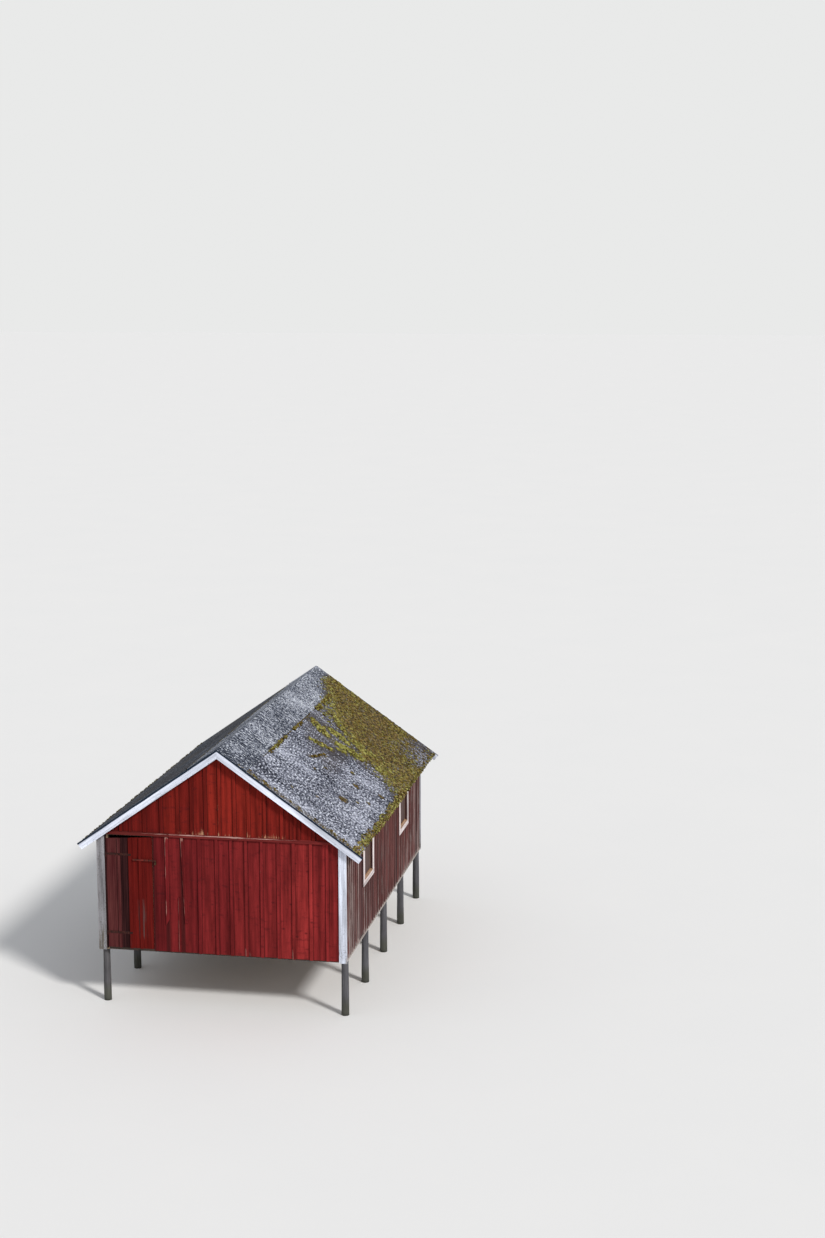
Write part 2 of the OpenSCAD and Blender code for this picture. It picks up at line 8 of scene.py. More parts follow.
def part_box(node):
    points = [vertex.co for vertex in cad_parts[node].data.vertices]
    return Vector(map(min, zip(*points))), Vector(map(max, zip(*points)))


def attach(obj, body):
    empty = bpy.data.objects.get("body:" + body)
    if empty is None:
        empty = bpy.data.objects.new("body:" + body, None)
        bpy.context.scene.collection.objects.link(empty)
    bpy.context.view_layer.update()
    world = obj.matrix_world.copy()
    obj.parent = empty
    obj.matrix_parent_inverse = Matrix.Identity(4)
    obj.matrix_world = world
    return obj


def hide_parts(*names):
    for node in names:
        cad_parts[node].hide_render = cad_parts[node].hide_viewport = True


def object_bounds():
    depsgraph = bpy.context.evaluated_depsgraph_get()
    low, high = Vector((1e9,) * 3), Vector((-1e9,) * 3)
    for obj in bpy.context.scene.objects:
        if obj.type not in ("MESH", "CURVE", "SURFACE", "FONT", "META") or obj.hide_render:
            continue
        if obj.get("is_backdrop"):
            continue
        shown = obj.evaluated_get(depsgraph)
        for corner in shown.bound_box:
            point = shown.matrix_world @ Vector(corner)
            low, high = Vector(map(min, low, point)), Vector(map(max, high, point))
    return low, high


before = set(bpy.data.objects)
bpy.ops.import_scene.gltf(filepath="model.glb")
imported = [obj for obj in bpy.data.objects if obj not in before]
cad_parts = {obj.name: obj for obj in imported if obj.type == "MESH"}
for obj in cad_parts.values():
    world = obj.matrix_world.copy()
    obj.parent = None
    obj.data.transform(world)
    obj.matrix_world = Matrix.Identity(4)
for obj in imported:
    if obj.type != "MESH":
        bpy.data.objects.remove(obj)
cad_low, cad_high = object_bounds()

SIDES = ((1, "right"), (-1, "left"))
PITCH = math.radians(35)
COS, SIN, TAN = math.cos(PITCH), math.sin(PITCH), math.tan(PITCH)

# Thicknesses, widths and clearances of the pieces, in metres
FELT, BOARD, BATTEN, BATTEN_W, FOOT_STRIP = 0.005, 0.022, 0.022, 0.05, 0.024
CASING_W, CASING_T, WHITE_T = 0.095, 0.03, 0.012
RAFTER_HALF, NOTCH_HALF = 0.0225, 0.0255
RAIL_T, LEDGE_W, LEDGE_T, FLOOR_T = 0.03, 0.12, 0.025, 0.028
DOOR_GAP, CLEAR, HAIR = 0.006, 0.001, 0.0005
# Depths of roof boards, rafters and the rafters' undersides below the roof's surface
V_BOARD, V_RAFTER, V_UNDER = 0.0053, 0.0276, 0.1276
# The ridge strip's reach down each slope, and how far its face lies above the felt
STRIP_U, STRIP_TOP = 0.6, 0.0053
TALL = 9


def point(x, y=0.0, z=0.0):
    return Vector((x, y, z))


def low_of(node):
    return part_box(node)[0]


def high_of(node):
    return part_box(node)[1]


X, Y, Z = point(1), point(0, 1), point(0, 0, 1)
# Places taken from the CAD nodes
RIDGE = high_of("roof_felt_right").z
U_EAVE = high_of("roof_boards_right").x / COS + FELT
U_TIP = cad_high.x / COS
ROOF_Y0, ROOF_Y1 = cad_low.y, cad_high.y
FRAME_X, SIDE_X = low_of("right_wall").x, high_of("right_wall").x
HALF_W = high_of("corner_boards").x
Y0, Y1 = low_of("front_gable").y, high_of("back_gable").y
FRAME_Y0, FRAME_Y1 = high_of("front_gable").y, low_of("back_gable").y
FOOT = low_of("right_wall").z
RAIL_Z0, RAIL_Z1, RAIL_X = low_of("drip_rails").z, high_of("drip_rails").z, high_of("drip_rails").x
RAIL_MID = (RAIL_Z0 + RAIL_Z1) / 2
WINDOW_IN, BAYS = 1.755, 10
WINDOW_Y = (Y0 + WINDOW_IN, Y1 - WINDOW_IN)
WINDOW_HALF, WINDOW_Z0, WINDOW_Z1 = 0.335, FOOT + 0.96, FOOT + 1.54
FRAME_L = FRAME_Y1 - FRAME_Y0 - 2 * RAFTER_HALF
RAFTERS = [FRAME_Y0 + RAFTER_HALF + i * FRAME_L / BAYS for i in range(BAYS + 1)]
GABLES = ((Y0, -Y), (Y1, Y))


def plane_z(x, v):
    """The height of the plane at the depth v below the roof's surface."""
    return RIDGE - abs(x) * TAN - v / COS


def on_slope(u, v, y, side=1):
    """The point at the distance u down a slope and the depth v below its surface."""
    return point(side * (u * COS - v * SIN), y, RIDGE - u * SIN - v * COS)


def under_roof(x, high=TALL):
    """The top of an upright piece at x, cut along the roof boards and never above high."""
    return lambda u, v: min(high, plane_z(x + u, V_RAFTER))


def clamp(x, low=0, high=1):
    return min(max(x, low), high)


def smooth(a, b, x):
    t = clamp((x - a) / (b - a))
    return t * t * (3 - 2 * t)


def wave(*p):
    return noise.noise(Vector(p))


def rough(x, y, z=0.0):
    """Noise of four octaves, about -1 to 1."""
    return sum(noise.noise(Vector((x, y, z)) * 2 ** k) / 2 ** k for k in range(4)) / 1.4


def split(a, b, pitch, draw):
    """Joints between a and b at about one pitch."""
    n = max(1, round((b - a) / pitch))
    inner = [a + (b - a) * k / n + draw(-0.012, 0.012) for k in range(1, n)]
    return [a] + inner + [b]


# Meshes

def plank(width, thick):
    """The section of a board with its edges taken off and its face a little hollow."""
    edge, cup = 0.002, 0.0008
    a, b = width / 2, width / 2 - edge
    return [(-b, 0), (0, 0), (b, 0), (a, edge), (a, thick - edge), (b, thick), (0, thick - cup),
            (-b, thick), (-a, thick - edge), (-a, edge)]


def stations(length, step):
    """Where a board has its rings, as shares of its length; they are closer near the ends."""
    marks = {0.0, 1.0}
    for d in (0.03, 0.1, 0.22):
        if d < length * 0.45:
            marks |= {d / length, 1 - d / length}
    count = max(1, round(length / step))
    marks |= {k / count for k in range(1, count) if 0.3 < k * length / count < length - 0.3}
    return sorted(marks)


class Mesh:
    """One joined mesh. Each vertex has grain coordinates, its spot on the board, a tone and a wear."""

    def __init__(self, name, seed):
        self.name, self.rng = name, random.Random(seed)
        self.draw = self.rng.uniform
        self.verts, self.faces = [], []
        self.grain, self.spot, self.tone, self.wear = [], [], [], []

    def vertex(self, place, grain, tone=0.5, wear=0.0, spot=(1, 1, 0)):
        self.verts.append(tuple(place))
        self.grain.append(tuple(grain))
        self.spot.append(spot)
        self.tone.append(tone)
        self.wear.append(wear)
        return len(self.verts) - 1

    def grid(self, rows, closed=False, flip=False):
        """Faces between rows of vertex numbers of the same length."""
        for a, b in zip(rows, rows[1:]):
            for i in range(len(a) - (0 if closed else 1)):
                j = (i + 1) % len(a)
                quad = (a[i], a[j], b[j], b[i])
                self.faces.append(quad[::-1] if flip else quad)

    def tube(self, rows, flip=False):
        """A closed skin round the rows, with a cap at each end."""
        self.grid(rows, True, flip)
        self.faces.append(tuple(rows[0] if flip else rows[0][::-1]))
        self.faces.append(tuple(rows[-1][::-1] if flip else rows[-1]))

    def board(self, at, across, out, along, width, thick, low, high, tone=None, wear=0.0,
              section=None, step=0.4, play=1.0, ragged=0.0):
        """A board that runs along `along` from low to high; at is the middle of its inner face.

        u runs across the board, v through its thickness and w along it. low and high may be functions
        of u and v, and wear one of the place p, u, v and w. step is the distance of its rings, play how
        much it sways and bows, and ragged how torn its ends are.
        """
        tone = self.rng.random() if tone is None else tone
        shift = Vector([self.draw(-9, 9) for _ in range(3)])
        phase = self.draw(0, 90)
        section = section or plank(width, thick)
        low_at = low if callable(low) else lambda u, v: low
        high_at = high if callable(high) else lambda u, v: high
        length = high_at(0, 0) - low_at(0, 0)
        rings = []
        for f in stations(length, step):
            sway = 0.0014 * play * wave(phase, f * length * 1.3, 0)
            bow = -0.0018 * play * abs(wave(phase + 7, f * length * 0.9, 3))
            ring = []
            for u, v in section:
                w = low_at(u, v) + (high_at(u, v) - low_at(u, v)) * f
                if ragged and f in (0.0, 1.0):
                    w += (1 if f == 0.0 else -1) * ragged * self.rng.random()
                p = at + across * (u + sway) + out * (v + (bow if v > thick / 2 else 0)) + along * w
                amount = wear(p, u, v, w) if callable(wear) else wear
                spot = (width / 2 - abs(u), v / thick, min(f, 1 - f) * length)
                ring.append(self.vertex(p, Vector((u, v, w)) + shift, tone, amount, spot))
            rings.append(ring)
        area = sum(a[0] * b[1] - b[0] * a[1] for a, b in zip(section, section[1:] + section[:1]))
        self.tube(rings, (across.cross(out).dot(along) < 0) != (area < 0))

    def nail(self, at, out, size=0.0045, proud=0.0012):
        """A flat nail head on a face."""
        side = out.orthogonal().normalized()
        other = out.cross(side)
        turn = self.draw(0, 1)
        low, high = [], []
        for k in range(6):
            a = turn + k * math.pi / 3
            d = side * math.cos(a) + other * math.sin(a)
            low.append(self.vertex(at + d * size - out * 0.001, at))
            high.append(self.vertex(at + d * size * 0.75 + out * proud, at))
        self.grid([low, high], closed=True)
        self.faces.append(tuple(high))

    def build(self, material, slot, *replaced, body="house", soft=False):
        data = bpy.data.meshes.new(self.name)
        data.from_pydata(self.verts, [], self.faces)
        data.update()
        for label, values in (("pc", self.grain), ("spot", self.spot)):
            layer = data.attributes.new(label, "FLOAT_VECTOR", "POINT")
            layer.data.foreach_set("vector", [c for p in values for c in p])
        for label, values in (("tone", self.tone), ("wear", self.wear)):
            layer = data.attributes.new(label, "FLOAT", "POINT")
            layer.data.foreach_set("value", values)
        for p in data.polygons:
            p.use_smooth = soft
        data.materials.append(material)
        obj = bpy.data.objects.new(self.name, data)
        bpy.context.scene.collection.objects.link(obj)
        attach(obj, body)
        if replaced:
            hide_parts(*replaced)


# Materials

class Value:
    """An output of a material's node. Sums, differences and products of it are new nodes."""

    def __init__(self, shader, socket):
        self.shader, self.socket = shader, socket

    def __add__(self, other):
        return self.shader.math("ADD", self, other)

    def __sub__(self, other):
        return self.shader.math("SUBTRACT", self, other)

    def __mul__(self, other):
        return self.shader.math("MULTIPLY", self, other)

    def span(self, a, b, low=0.0, high=1.0):
        """The value mapped from the range a to b onto low to high, and held inside it."""
        inputs = {"Value": self, "From Min": a, "From Max": b, "To Min": low, "To Max": high}
        return self.shader.node("MapRange", 0, inputs)

    def ramp(self, a, b, first, last):
        """The first colour below a, the last above b and a mixture between them."""
        return self.shader.mix(self.span(a, b), first, last)

    def part(self, axis):
        return self.shader.node("SeparateXYZ", axis, {0: self})


class Shader:
    """A principled material with short calls for its nodes."""

    def __init__(self, name, roughness=0.85, metallic=0.0, specular=0.3):
        self.material = bpy.data.materials.new(name)
        self.material.use_nodes = True
        self.tree = self.material.node_tree
        self.tree.nodes.clear()
        self.bsdf = self.tree.nodes.new("ShaderNodeBsdfPrincipled")
        out = self.tree.nodes.new("ShaderNodeOutputMaterial")
        self.tree.links.new(self.bsdf.outputs[0], out.inputs["Surface"])
        settings = {"Roughness": roughness, "Metallic": metallic, "Specular IOR Level": specular}
        for label, value in settings.items():
            self.bsdf.inputs[label].default_value = value

    def put(self, socket, value):
        if isinstance(value, Value):
            self.tree.links.new(value.socket, socket)
        elif socket.type == "RGBA":
            socket.default_value = (*value, 1)
        else:
            socket.default_value = value

    def node(self, kind, output, inputs):
        """One output of a new node whose inputs are set."""
        node = self.tree.nodes.new("ShaderNode" + kind)
        for key, value in inputs.items():
            self.put(node.inputs[key], value)
        return Value(self, node.outputs[output])

    def attributes(self, *names):
        """What the meshes carry: pc and spot are vectors, tone and wear are numbers."""
        found = []
        for name in names:
            found.append(self.node("Attribute", "Vector" if name in ("pc", "spot") else "Fac", {}))
            found[-1].socket.node.attribute_name = name
        return found

    def place(self):
        return self.node("TexCoord", "Object", {})

    def scaled(self, vector, scale, turn=(0, 0, 0)):
        return self.node("Mapping", 0, {"Vector": vector, "Scale": scale, "Rotation": turn})

    def noise(self, vector, scale=1.0, detail=3.0, fine=0.6):
        inputs = {"Vector": vector, "Scale": scale, "Detail": detail, "Roughness": fine}
        return self.node("TexNoise", "Fac", inputs)

    def fibres(self, vector, scale, detail=3.0, fine=0.6):
        """Noise with a scale of its own along each axis."""
        return self.noise(self.scaled(vector, scale), 1.0, detail, fine)

    def cells(self, vector, scale):
        """Distance to the nearest of scattered points, and a random number for each point."""
        near = self.node("TexVoronoi", "Distance", {"Vector": vector, "Scale": scale})
        colour = Value(self, near.socket.node.outputs["Color"])
        return near, self.node("SeparateColor", 0, {0: colour})

    def math(self, kind, a, b):
        value = self.node("Math", 0, {0: a, 1: b})
        value.socket.node.operation = kind
        return value

    def mix(self, factor, a, b, blend="MIX"):
        node = self.tree.nodes.new("ShaderNodeMix")
        node.data_type, node.blend_type = "RGBA", blend
        sockets = {s.name: s for s in node.inputs if s.enabled}
        for label, value in (("Factor", factor), ("A", a), ("B", b)):
            self.put(sockets[label], value)
        return Value(self, next(s for s in node.outputs if s.enabled))

    def shade(self, colour, amount, low, high):
        """The colour times a grey between low and high."""
        grey = amount.span(0.3, 0.7, low, high)
        return self.mix(1.0, colour, self.node("CombineColor", 0, {0: grey, 1: grey, 2: grey}), "MULTIPLY")

    def finish(self, colour, bump=None, depth=None, rough=None):
        self.put(self.bsdf.inputs["Base Color"], colour)
        if rough is not None:
            self.put(self.bsdf.inputs["Roughness"], rough)
        if bump is not None:
            self.put(self.bsdf.inputs["Normal"], self.node("Bump", 0, {"Distance": depth, "Height": bump}))
        return self.material


FIBRE, GRAIN = (190, 190, 5), (46, 46, 1.4)
# The second of these colours darkens boards beside the cover battens: painted shade, with some grime.
KNOT, SHADE_AND_GRIME, DIRT = (0.045, 0.006, 0.008), (0.03, 0.008, 0.008), (0.1, 0.095, 0.09)


def painted(name, paint, bare, hold=0.5, fade=0.5, joint=0.025, knots=0.0, roughness=0.9, flecks=0.0,
            facing=0.0, fine=0.0):
    """Paint on sawn boards.

    paint is three colours and bare two. hold is how much wear the paint stands, fade how strong the
    third colour is, joint how far in from a board's edge the cover batten reaches, with grime and
    painted shade beside it, knots the share of places with a knot, and flecks how many specks of dirt
    there are. facing wears the face more and the flanks less, and fine breaks the worn places up along
    the fibre.
    """
    s = Shader(name, roughness, specular=0.07)
    pc, spot, tone, wear = s.attributes("pc", "spot", "tone", "wear")
    fibre = s.fibres(pc, FIBRE, fine=0.65)
    grain = s.fibres(pc, GRAIN)
    streak = s.fibres(pc, (15, 15, 0.7))
    patch = s.fibres(pc, (8, 8, 2.2), 4)
    colour = s.mix(tone, paint[0], paint[1])
    colour = s.mix(patch.span(0.45, 0.75) * fade, colour, paint[2])
    colour = s.shade(colour, fibre, 0.84, 1.14)
    colour = s.shade(colour, streak, 0.54, 1.42)
    if knots:
        near, chance = s.cells(s.scaled(pc, (5.5, 5.5, 8.5)), 1)
        knot = near.span(0.2, 0.06) * chance.span(1 - knots, 1 - knots + 0.02)
        smudge = s.fibres(pc, (5, 5, 13)).span(0.57, 0.72, 0.0, 0.42)
        colour = s.mix(s.math("MAXIMUM", knot * 0.62, smudge), colour, KNOT)
    wood = s.shade(grain.ramp(0.3, 0.7, bare[0], bare[1]), fibre, 0.72, 1.22)
    loss = wear + (grain - 0.5) * 1.3 + (patch - 0.5) * 0.9
    if fine:
        loss += (fibre - 0.5) * fine
    if facing:
        loss += spot.part("Y").span(0.92, 0.97, -facing, facing)
    mask = loss.span(hold, hold + 0.14)
    colour = s.mix(mask, colour, wood)
    # Painted shade and grime: the board darkens next to each cover batten, where the batten's shade falls.
    if joint:
        beside = spot.part("X").span(joint + 0.014, joint, 0.0, 0.74)
        colour = s.mix(beside * streak.span(0.3, 0.6, 0.6, 1.0), colour, SHADE_AND_GRIME)
    if flecks:
        dirt = s.noise(s.scaled(pc, (1, 1, 0.6)), 75, 3, 0.7) + wear * 0.22
        colour = s.mix(dirt.span(0.74 - flecks, 0.78 - flecks) * 0.8, colour, DIRT)
    return s.finish(colour, fibre * 0.6 + mask * -0.25, 0.0016)


def timber(name, axis, light, dark, turn=0.0, own=False):
    """Bare wood whose grain runs along an axis of the model, turned by an angle, or of its own boards."""
    s = Shader(name, 0.9)
    stretch = {"x": (1.6, 38, 38), "y": (38, 1.6, 38), "z": (38, 38, 1.6)}[axis]
    place = s.attributes("pc")[0] if own else s.place()
    turned = s.scaled(place, (1, 1, 1), (0, turn, 0))
    fibre = s.fibres(turned, tuple(3.2 * c if c > 2 else 2.5 * c for c in stretch))
    colour = s.fibres(turned, stretch, 4).ramp(0.3, 0.7, light, dark)
    colour = s.shade(colour, s.noise(place, 1.7, 4), 0.72, 1.12)
    return s.finish(s.shade(colour, fibre, 0.85, 1.1), fibre, 0.0012)


def post_material():
    """Grey logs, wet at the foot; their dark grey partly paints the shade under the house."""
    s = Shader("grey logs", 0.92)
    pc, tone = s.attributes("pc", "tone")
    grain = s.fibres(pc, (70, 70, 3), 4)
    stain = s.fibres(pc, (8, 8, 2.5))
    colour = grain.ramp(0.3, 0.7, (0.112, 0.114, 0.13), (0.046, 0.046, 0.053))
    colour = s.mix(tone * 0.3, colour, (0.13, 0.11, 0.09))
    wet = s.place().part("Z").span(0.16, 0.34, 1.0, 0.0) * 0.75
    colour = s.mix(wet, colour, (0.06, 0.062, 0.045))
    return s.finish(s.shade(colour, stain, 0.75, 1.15), grain, 0.003)


def felt_material(name, shades, stretch, size, cover, streaks, patches):
    """Mineral felt under lichen: wear carries the moss, tone painted shade on the folds and underside.

    The specks run over the three shades from dark to light. stretch is their length down the slope,
    size how many lie in a metre, and cover the share of the light ones at the two ends of the house.
    streaks is how far rain has drawn them out into lines, and patches how much their share changes
    from place to place.
    """
    dark, middle, light = shades
    s = Shader(name, 0.95, specular=0.1)
    pc, moss, lip = s.attributes("pc", "wear", "tone")
    broad = s.noise(s.scaled(pc, (1, 1, 0.6)), 1.6, 4)
    speck = s.noise(s.scaled(pc, (1, 1, 1 / stretch)), size)
    share = pc.part("X").span(-2.6, 0.6, *cover) - moss.span(0.05, 0.25) * 0.075
    share += moss.span(-0.05, -0.3) * 0.1
    level = speck + (share + (broad - 0.5) * patches)
    level += (s.fibres(pc, (30, 1, 6)) - 0.5) * streaks
    colour = level.ramp(0.37, 0.46, dark, middle)
    colour = level.ramp(0.49, 0.6, colour, light)
    spark = s.noise(s.scaled(pc, (0.6, 1, 1.1)), 1.6 * size, 2).span(0.56, 0.6)
    colour = s.mix(spark * level.span(0.42, 0.5), colour, tuple(min(0.8, 1.9 * c) for c in light))
    colour = s.shade(colour, s.noise(pc, 160, 2, 0.7), 0.85, 1.15)
    colour = s.mix(moss.span(0.1, 0.3, 0.0, 0.22), colour, (0.2, 0.165, 0.15))
    stain = (moss + (s.noise(pc, 26, 4, 0.72) - 0.5) * 1.7).span(0.42, 0.56)
    tuft = s.noise(s.scaled(pc, (0.75, 1, 0.8)), 22, 3, 0.68)
    brown = tuft.ramp(0.42, 0.5, (0.014, 0.01, 0.003), (0.09, 0.062, 0.014))
    brown = tuft.ramp(0.5, 0.6, brown, (0.25, 0.166, 0.056))
    near = s.noise(pc, 5, 3) + moss.span(0.74, 0.52, -0.05, 0.16)
    near += s.noise(pc, 0.9, 2).span(0.42, 0.58, -0.06, 0.08)
    yellow = near.span(0.5, 0.64) * tuft.span(0.44, 0.56)
    brown = s.mix(yellow * 0.8, brown, (0.245, 0.208, 0.036))
    brown = s.mix(s.noise(pc, 48, 2).span(0.64, 0.68) * 0.7, brown, (0.42, 0.35, 0.31))
    colour = s.mix(stain * 0.96, colour, brown)
    # Painted shade: where tone is high, on the folds and underside, the felt turns dark navy.
    colour = lip.ramp(0.3, 0.7, colour, (0.016, 0.026, 0.044))
    return s.finish(colour, level * 0.8 + tuft * stain * 2.5, 0.004)


def moss_material():
    """Cushions of moss: olive, yellow-green at higher tone, rusty near one, and dark with painted shade
    where wear is.
    """
    s = Shader("moss", 1.0, specular=0.05)
    pc, tone, foot = s.attributes("pc", "tone", "wear")
    tuft = s.noise(pc, 130, 4, 0.75)
    patch = s.noise(pc, 13, 3, 0.65)
    dull = patch.ramp(0.42, 0.58, (0.026, 0.017, 0.003), (0.185, 0.124, 0.024))
    dull = s.mix(s.noise(pc, 55, 2).span(0.6, 0.64) * 0.7, dull, (0.46, 0.37, 0.22))
    bright = patch.ramp(0.4, 0.6, (0.19, 0.176, 0.034), (0.45, 0.445, 0.14))
    rust = patch.ramp(0.4, 0.6, (0.15, 0.08, 0.045), (0.35, 0.25, 0.13))
    colour = tone.ramp(0.25, 0.6, dull, bright)
    colour = tone.ramp(0.76, 0.9, colour, rust)
    colour = s.shade(colour, tuft, 0.55, 1.45)
    # Where wear is high the moss turns near black: painted shade at the cushions' feet.
    return s.finish(s.mix(foot * 0.85, colour, (0.02, 0.018, 0.007)), tuft, 0.01)


def door_material():
    """The red paint, dark brown on boards of a low tone and grey where worn.

    Boards of the lowest tone are black: painted shadow on the board beside the door's hinge side.
    """
    s = Shader("door paint", 0.9, specular=0.06)
    pc, tone, wear = s.attributes("pc", "tone", "wear")
    fibre = s.fibres(pc, FIBRE, fine=0.65)
    grain = s.fibres(pc, GRAIN)
    streak = s.fibres(pc, (16, 16, 0.8))
    red = grain.ramp(0.35, 0.7, (0.13, 0.009, 0.0065), (0.082, 0.0055, 0.005))
    brown = grain.ramp(0.35, 0.65, (0.058, 0.011, 0.0125), (0.105, 0.029, 0.028))
    # Black below a tone of 0.05: painted shadow on the board beside the hinge side.
    black = grain.ramp(0.4, 0.65, (0.015, 0.0045, 0.005), (0.042, 0.0125, 0.013))
    colour = tone.ramp(0.05, 0.15, black, brown)
    colour = tone.ramp(0.3, 0.6, colour, red)
    colour = s.shade(s.shade(colour, fibre, 0.84, 1.14), streak, 0.75, 1.2)
    grey = grain.ramp(0.35, 0.65, (0.125, 0.078, 0.074), (0.08, 0.044, 0.043))
    loss = wear + (grain - 0.5) * 1.6
    return s.finish(loss.ramp(0.44, 0.7, colour, s.shade(grey, fibre, 0.75, 1.25)), fibre, 0.0012)


def iron_material(name, paint=None):
    """Rusty iron, with what is left of a coat of paint if there is one."""
    s = Shader(name, specular=0.15)
    place = s.place()
    blotch, pit = s.noise(place, 55, 4, 0.65), s.noise(place, 320, 3, 0.7)
    colour = blotch.ramp(0.35, 0.65, (0.024, 0.01, 0.009), (0.075, 0.02, 0.013))
    if paint:
        colour = s.noise(place, 30).ramp(0.46, 0.6, colour, paint)
    return s.finish(s.shade(colour, pit, 0.7, 1.3), pit, 0.0008, blotch.span(0.3, 0.7, 0.6, 0.92))


def brass_material():
    s = Shader("dull brass", 0.5, metallic=0.8, specular=0.5)
    place = s.place()
    blotch = s.noise(place, 70, 4)
    colour = blotch.ramp(0.35, 0.65, (0.12, 0.07, 0.035), (0.045, 0.026, 0.018))
    return s.finish(colour, s.noise(place, 400, 2), 0.0003, blotch.span(0.3, 0.7, 0.38, 0.75))


LOW_RED = (0.108, 0.0084, 0.0105), (0.262, 0.025, 0.024), (0.08, 0.006, 0.0072)
LOW_WOOD = (0.38, 0.185, 0.15), (0.25, 0.105, 0.092)
HIGH_RED = (0.105, 0.007, 0.006), (0.225, 0.018, 0.011), (0.085, 0.006, 0.0055)
HIGH_WOOD = (0.62, 0.38, 0.22), (0.42, 0.2, 0.12)
RED = painted("red distemper", LOW_RED, LOW_WOOD, 0.62, knots=0.4)
RED_TRIM = painted("red battens", LOW_RED, LOW_WOOD, 0.62, joint=0, knots=0.2, fine=0.5)
RED_HIGH = painted("red distemper under the gable", HIGH_RED, HIGH_WOOD, 0.66, knots=0.2, fine=1.3)
HIGH_TRIM = painted("red battens under the gable", HIGH_RED, HIGH_WOOD, 0.66, joint=0, fine=1.3)
RAIL_RED = painted("rail paint", ((0.07, 0.012, 0.01), (0.165, 0.021, 0.02), (0.08, 0.009, 0.009)),
                   ((0.56, 0.37, 0.33), (0.4, 0.22, 0.2)), 0.5, joint=0, fine=0.6)
WORN_BOARD = painted("worn side boards", ((0.1, 0.052, 0.051), (0.13, 0.054, 0.051), (0.072, 0.045, 0.044)),
                     ((0.165, 0.134, 0.127), (0.105, 0.084, 0.08)), 0.52, 0.9)
WORN_BATTEN = painted("worn side battens",
                      ((0.125, 0.06, 0.058), (0.162, 0.061, 0.057), (0.095, 0.055, 0.052)),
                      ((0.4, 0.312, 0.297), (0.215, 0.16, 0.151)), 0.46, 0.8, joint=0, facing=0.13)
# The white's blue tint paints the cool sky light that falls on it in shade.
WHITE = painted("white paint", ((0.7, 0.74, 0.86), (0.64, 0.68, 0.79), (0.55, 0.58, 0.67)),
                ((0.36, 0.33, 0.3), (0.2, 0.18, 0.17)), 0.66, 0.6, joint=0, roughness=0.75, flecks=0.05)
CASING = painted("pale window paint", ((0.7, 0.62, 0.62), (0.62, 0.56, 0.57), (0.54, 0.42, 0.37)),
                 ((0.42, 0.26, 0.17), (0.28, 0.17, 0.12)), 0.6, 0.7, joint=0, roughness=0.8)
# Old white, grey and peeled, and dark: on the left corner planks the darkness paints the shade they stand
# in.
OLD_WHITE = painted("old white paint", ((0.285, 0.28, 0.3), (0.24, 0.235, 0.25), (0.185, 0.178, 0.185)),
                    ((0.22, 0.2, 0.18), (0.1, 0.088, 0.075)), 0.6, 0.8, joint=0, roughness=0.85,
                    flecks=0.07)
SILL = timber("sunlit sill", "z", (0.5, 0.29, 0.15), (0.34, 0.18, 0.09), own=True)
STRIP_WOOD = timber("bleached strip", "z", (0.46, 0.42, 0.39), (0.3, 0.26, 0.24), own=True)
PANEL = timber("panel boards", "z", (0.12, 0.072, 0.062), (0.062, 0.036, 0.034), own=True)
FLOOR_WOOD = timber("floor boards", "z", (0.36, 0.27, 0.19), (0.22, 0.155, 0.11), own=True)
ROOF_WOOD = timber("roof boards", "z", (0.34, 0.245, 0.165), (0.2, 0.135, 0.09), own=True)
OLD_WOOD = timber("weathered timber", "x", (0.085, 0.062, 0.048), (0.04, 0.029, 0.024))
SAWN = (0.4, 0.29, 0.19), (0.25, 0.165, 0.105)
FRAME_X_WOOD, FRAME_Y_WOOD, FRAME_Z_WOOD = (timber("frame timber " + axis, axis, *SAWN) for axis in "xyz")
POST = post_material()
FELT_SHADES = (0.015, 0.017, 0.026), (0.098, 0.105, 0.138), (0.355, 0.373, 0.45)
DARK_SHADES = (0.01, 0.013, 0.021), (0.034, 0.04, 0.054), (0.105, 0.115, 0.14)
STRIP_SHADES = (0.018, 0.022, 0.034), (0.1, 0.112, 0.148), (0.375, 0.395, 0.46)
FELT_MAT = felt_material("mineral felt", FELT_SHADES, 0.6, 16, (0.002, -0.006), 0.12, 0.52)
SHADE_FELT = felt_material("shaded felt", DARK_SHADES, 0.8, 18, (-0.01, -0.01), 0.2, 0.4)
STRIP_MAT = felt_material("ridge strip felt", STRIP_SHADES, 1.1, 24, (-0.05, -0.014), 0.66, 0.44)
MOSS = moss_material()
DOOR_RED = door_material()
IRON = iron_material("rusty iron")
PAINTED_IRON = iron_material("painted iron", (0.024, 0.008, 0.008))

# CAD nodes that keep their shape and get one of the materials
DRESSED = {
    "floor_joists": FRAME_X_WOOD, "tie_beams": FRAME_X_WOOD,
    "side_sills": FRAME_Y_WOOD, "wall_plates": FRAME_Y_WOOD, "ridge_board": FRAME_Y_WOOD,
    "side_studs": FRAME_Z_WOOD, "gable_studs": FRAME_Z_WOOD,
    "end_sills": OLD_WOOD, "gable_beams": OLD_WOOD,
    "rafters_right": timber("rafter timber right", "x", *SAWN, -PITCH),
    "rafters_left": timber("rafter timber left", "x", *SAWN, PITCH),
    "hinge_straps": PAINTED_IRON, "hinge_pintles": PAINTED_IRON,
    "hasp": iron_material("rusty hasp", (0.165, 0.024, 0.018)), "staple": IRON,
    "padlock": brass_material(),
}
for node, material in DRESSED.items():
    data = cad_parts[node].data
    data.materials.clear()
    data.materials.append(material)

nails = Mesh("nails", 3)
door_nails = Mesh("door_nails", 4)


# Gables

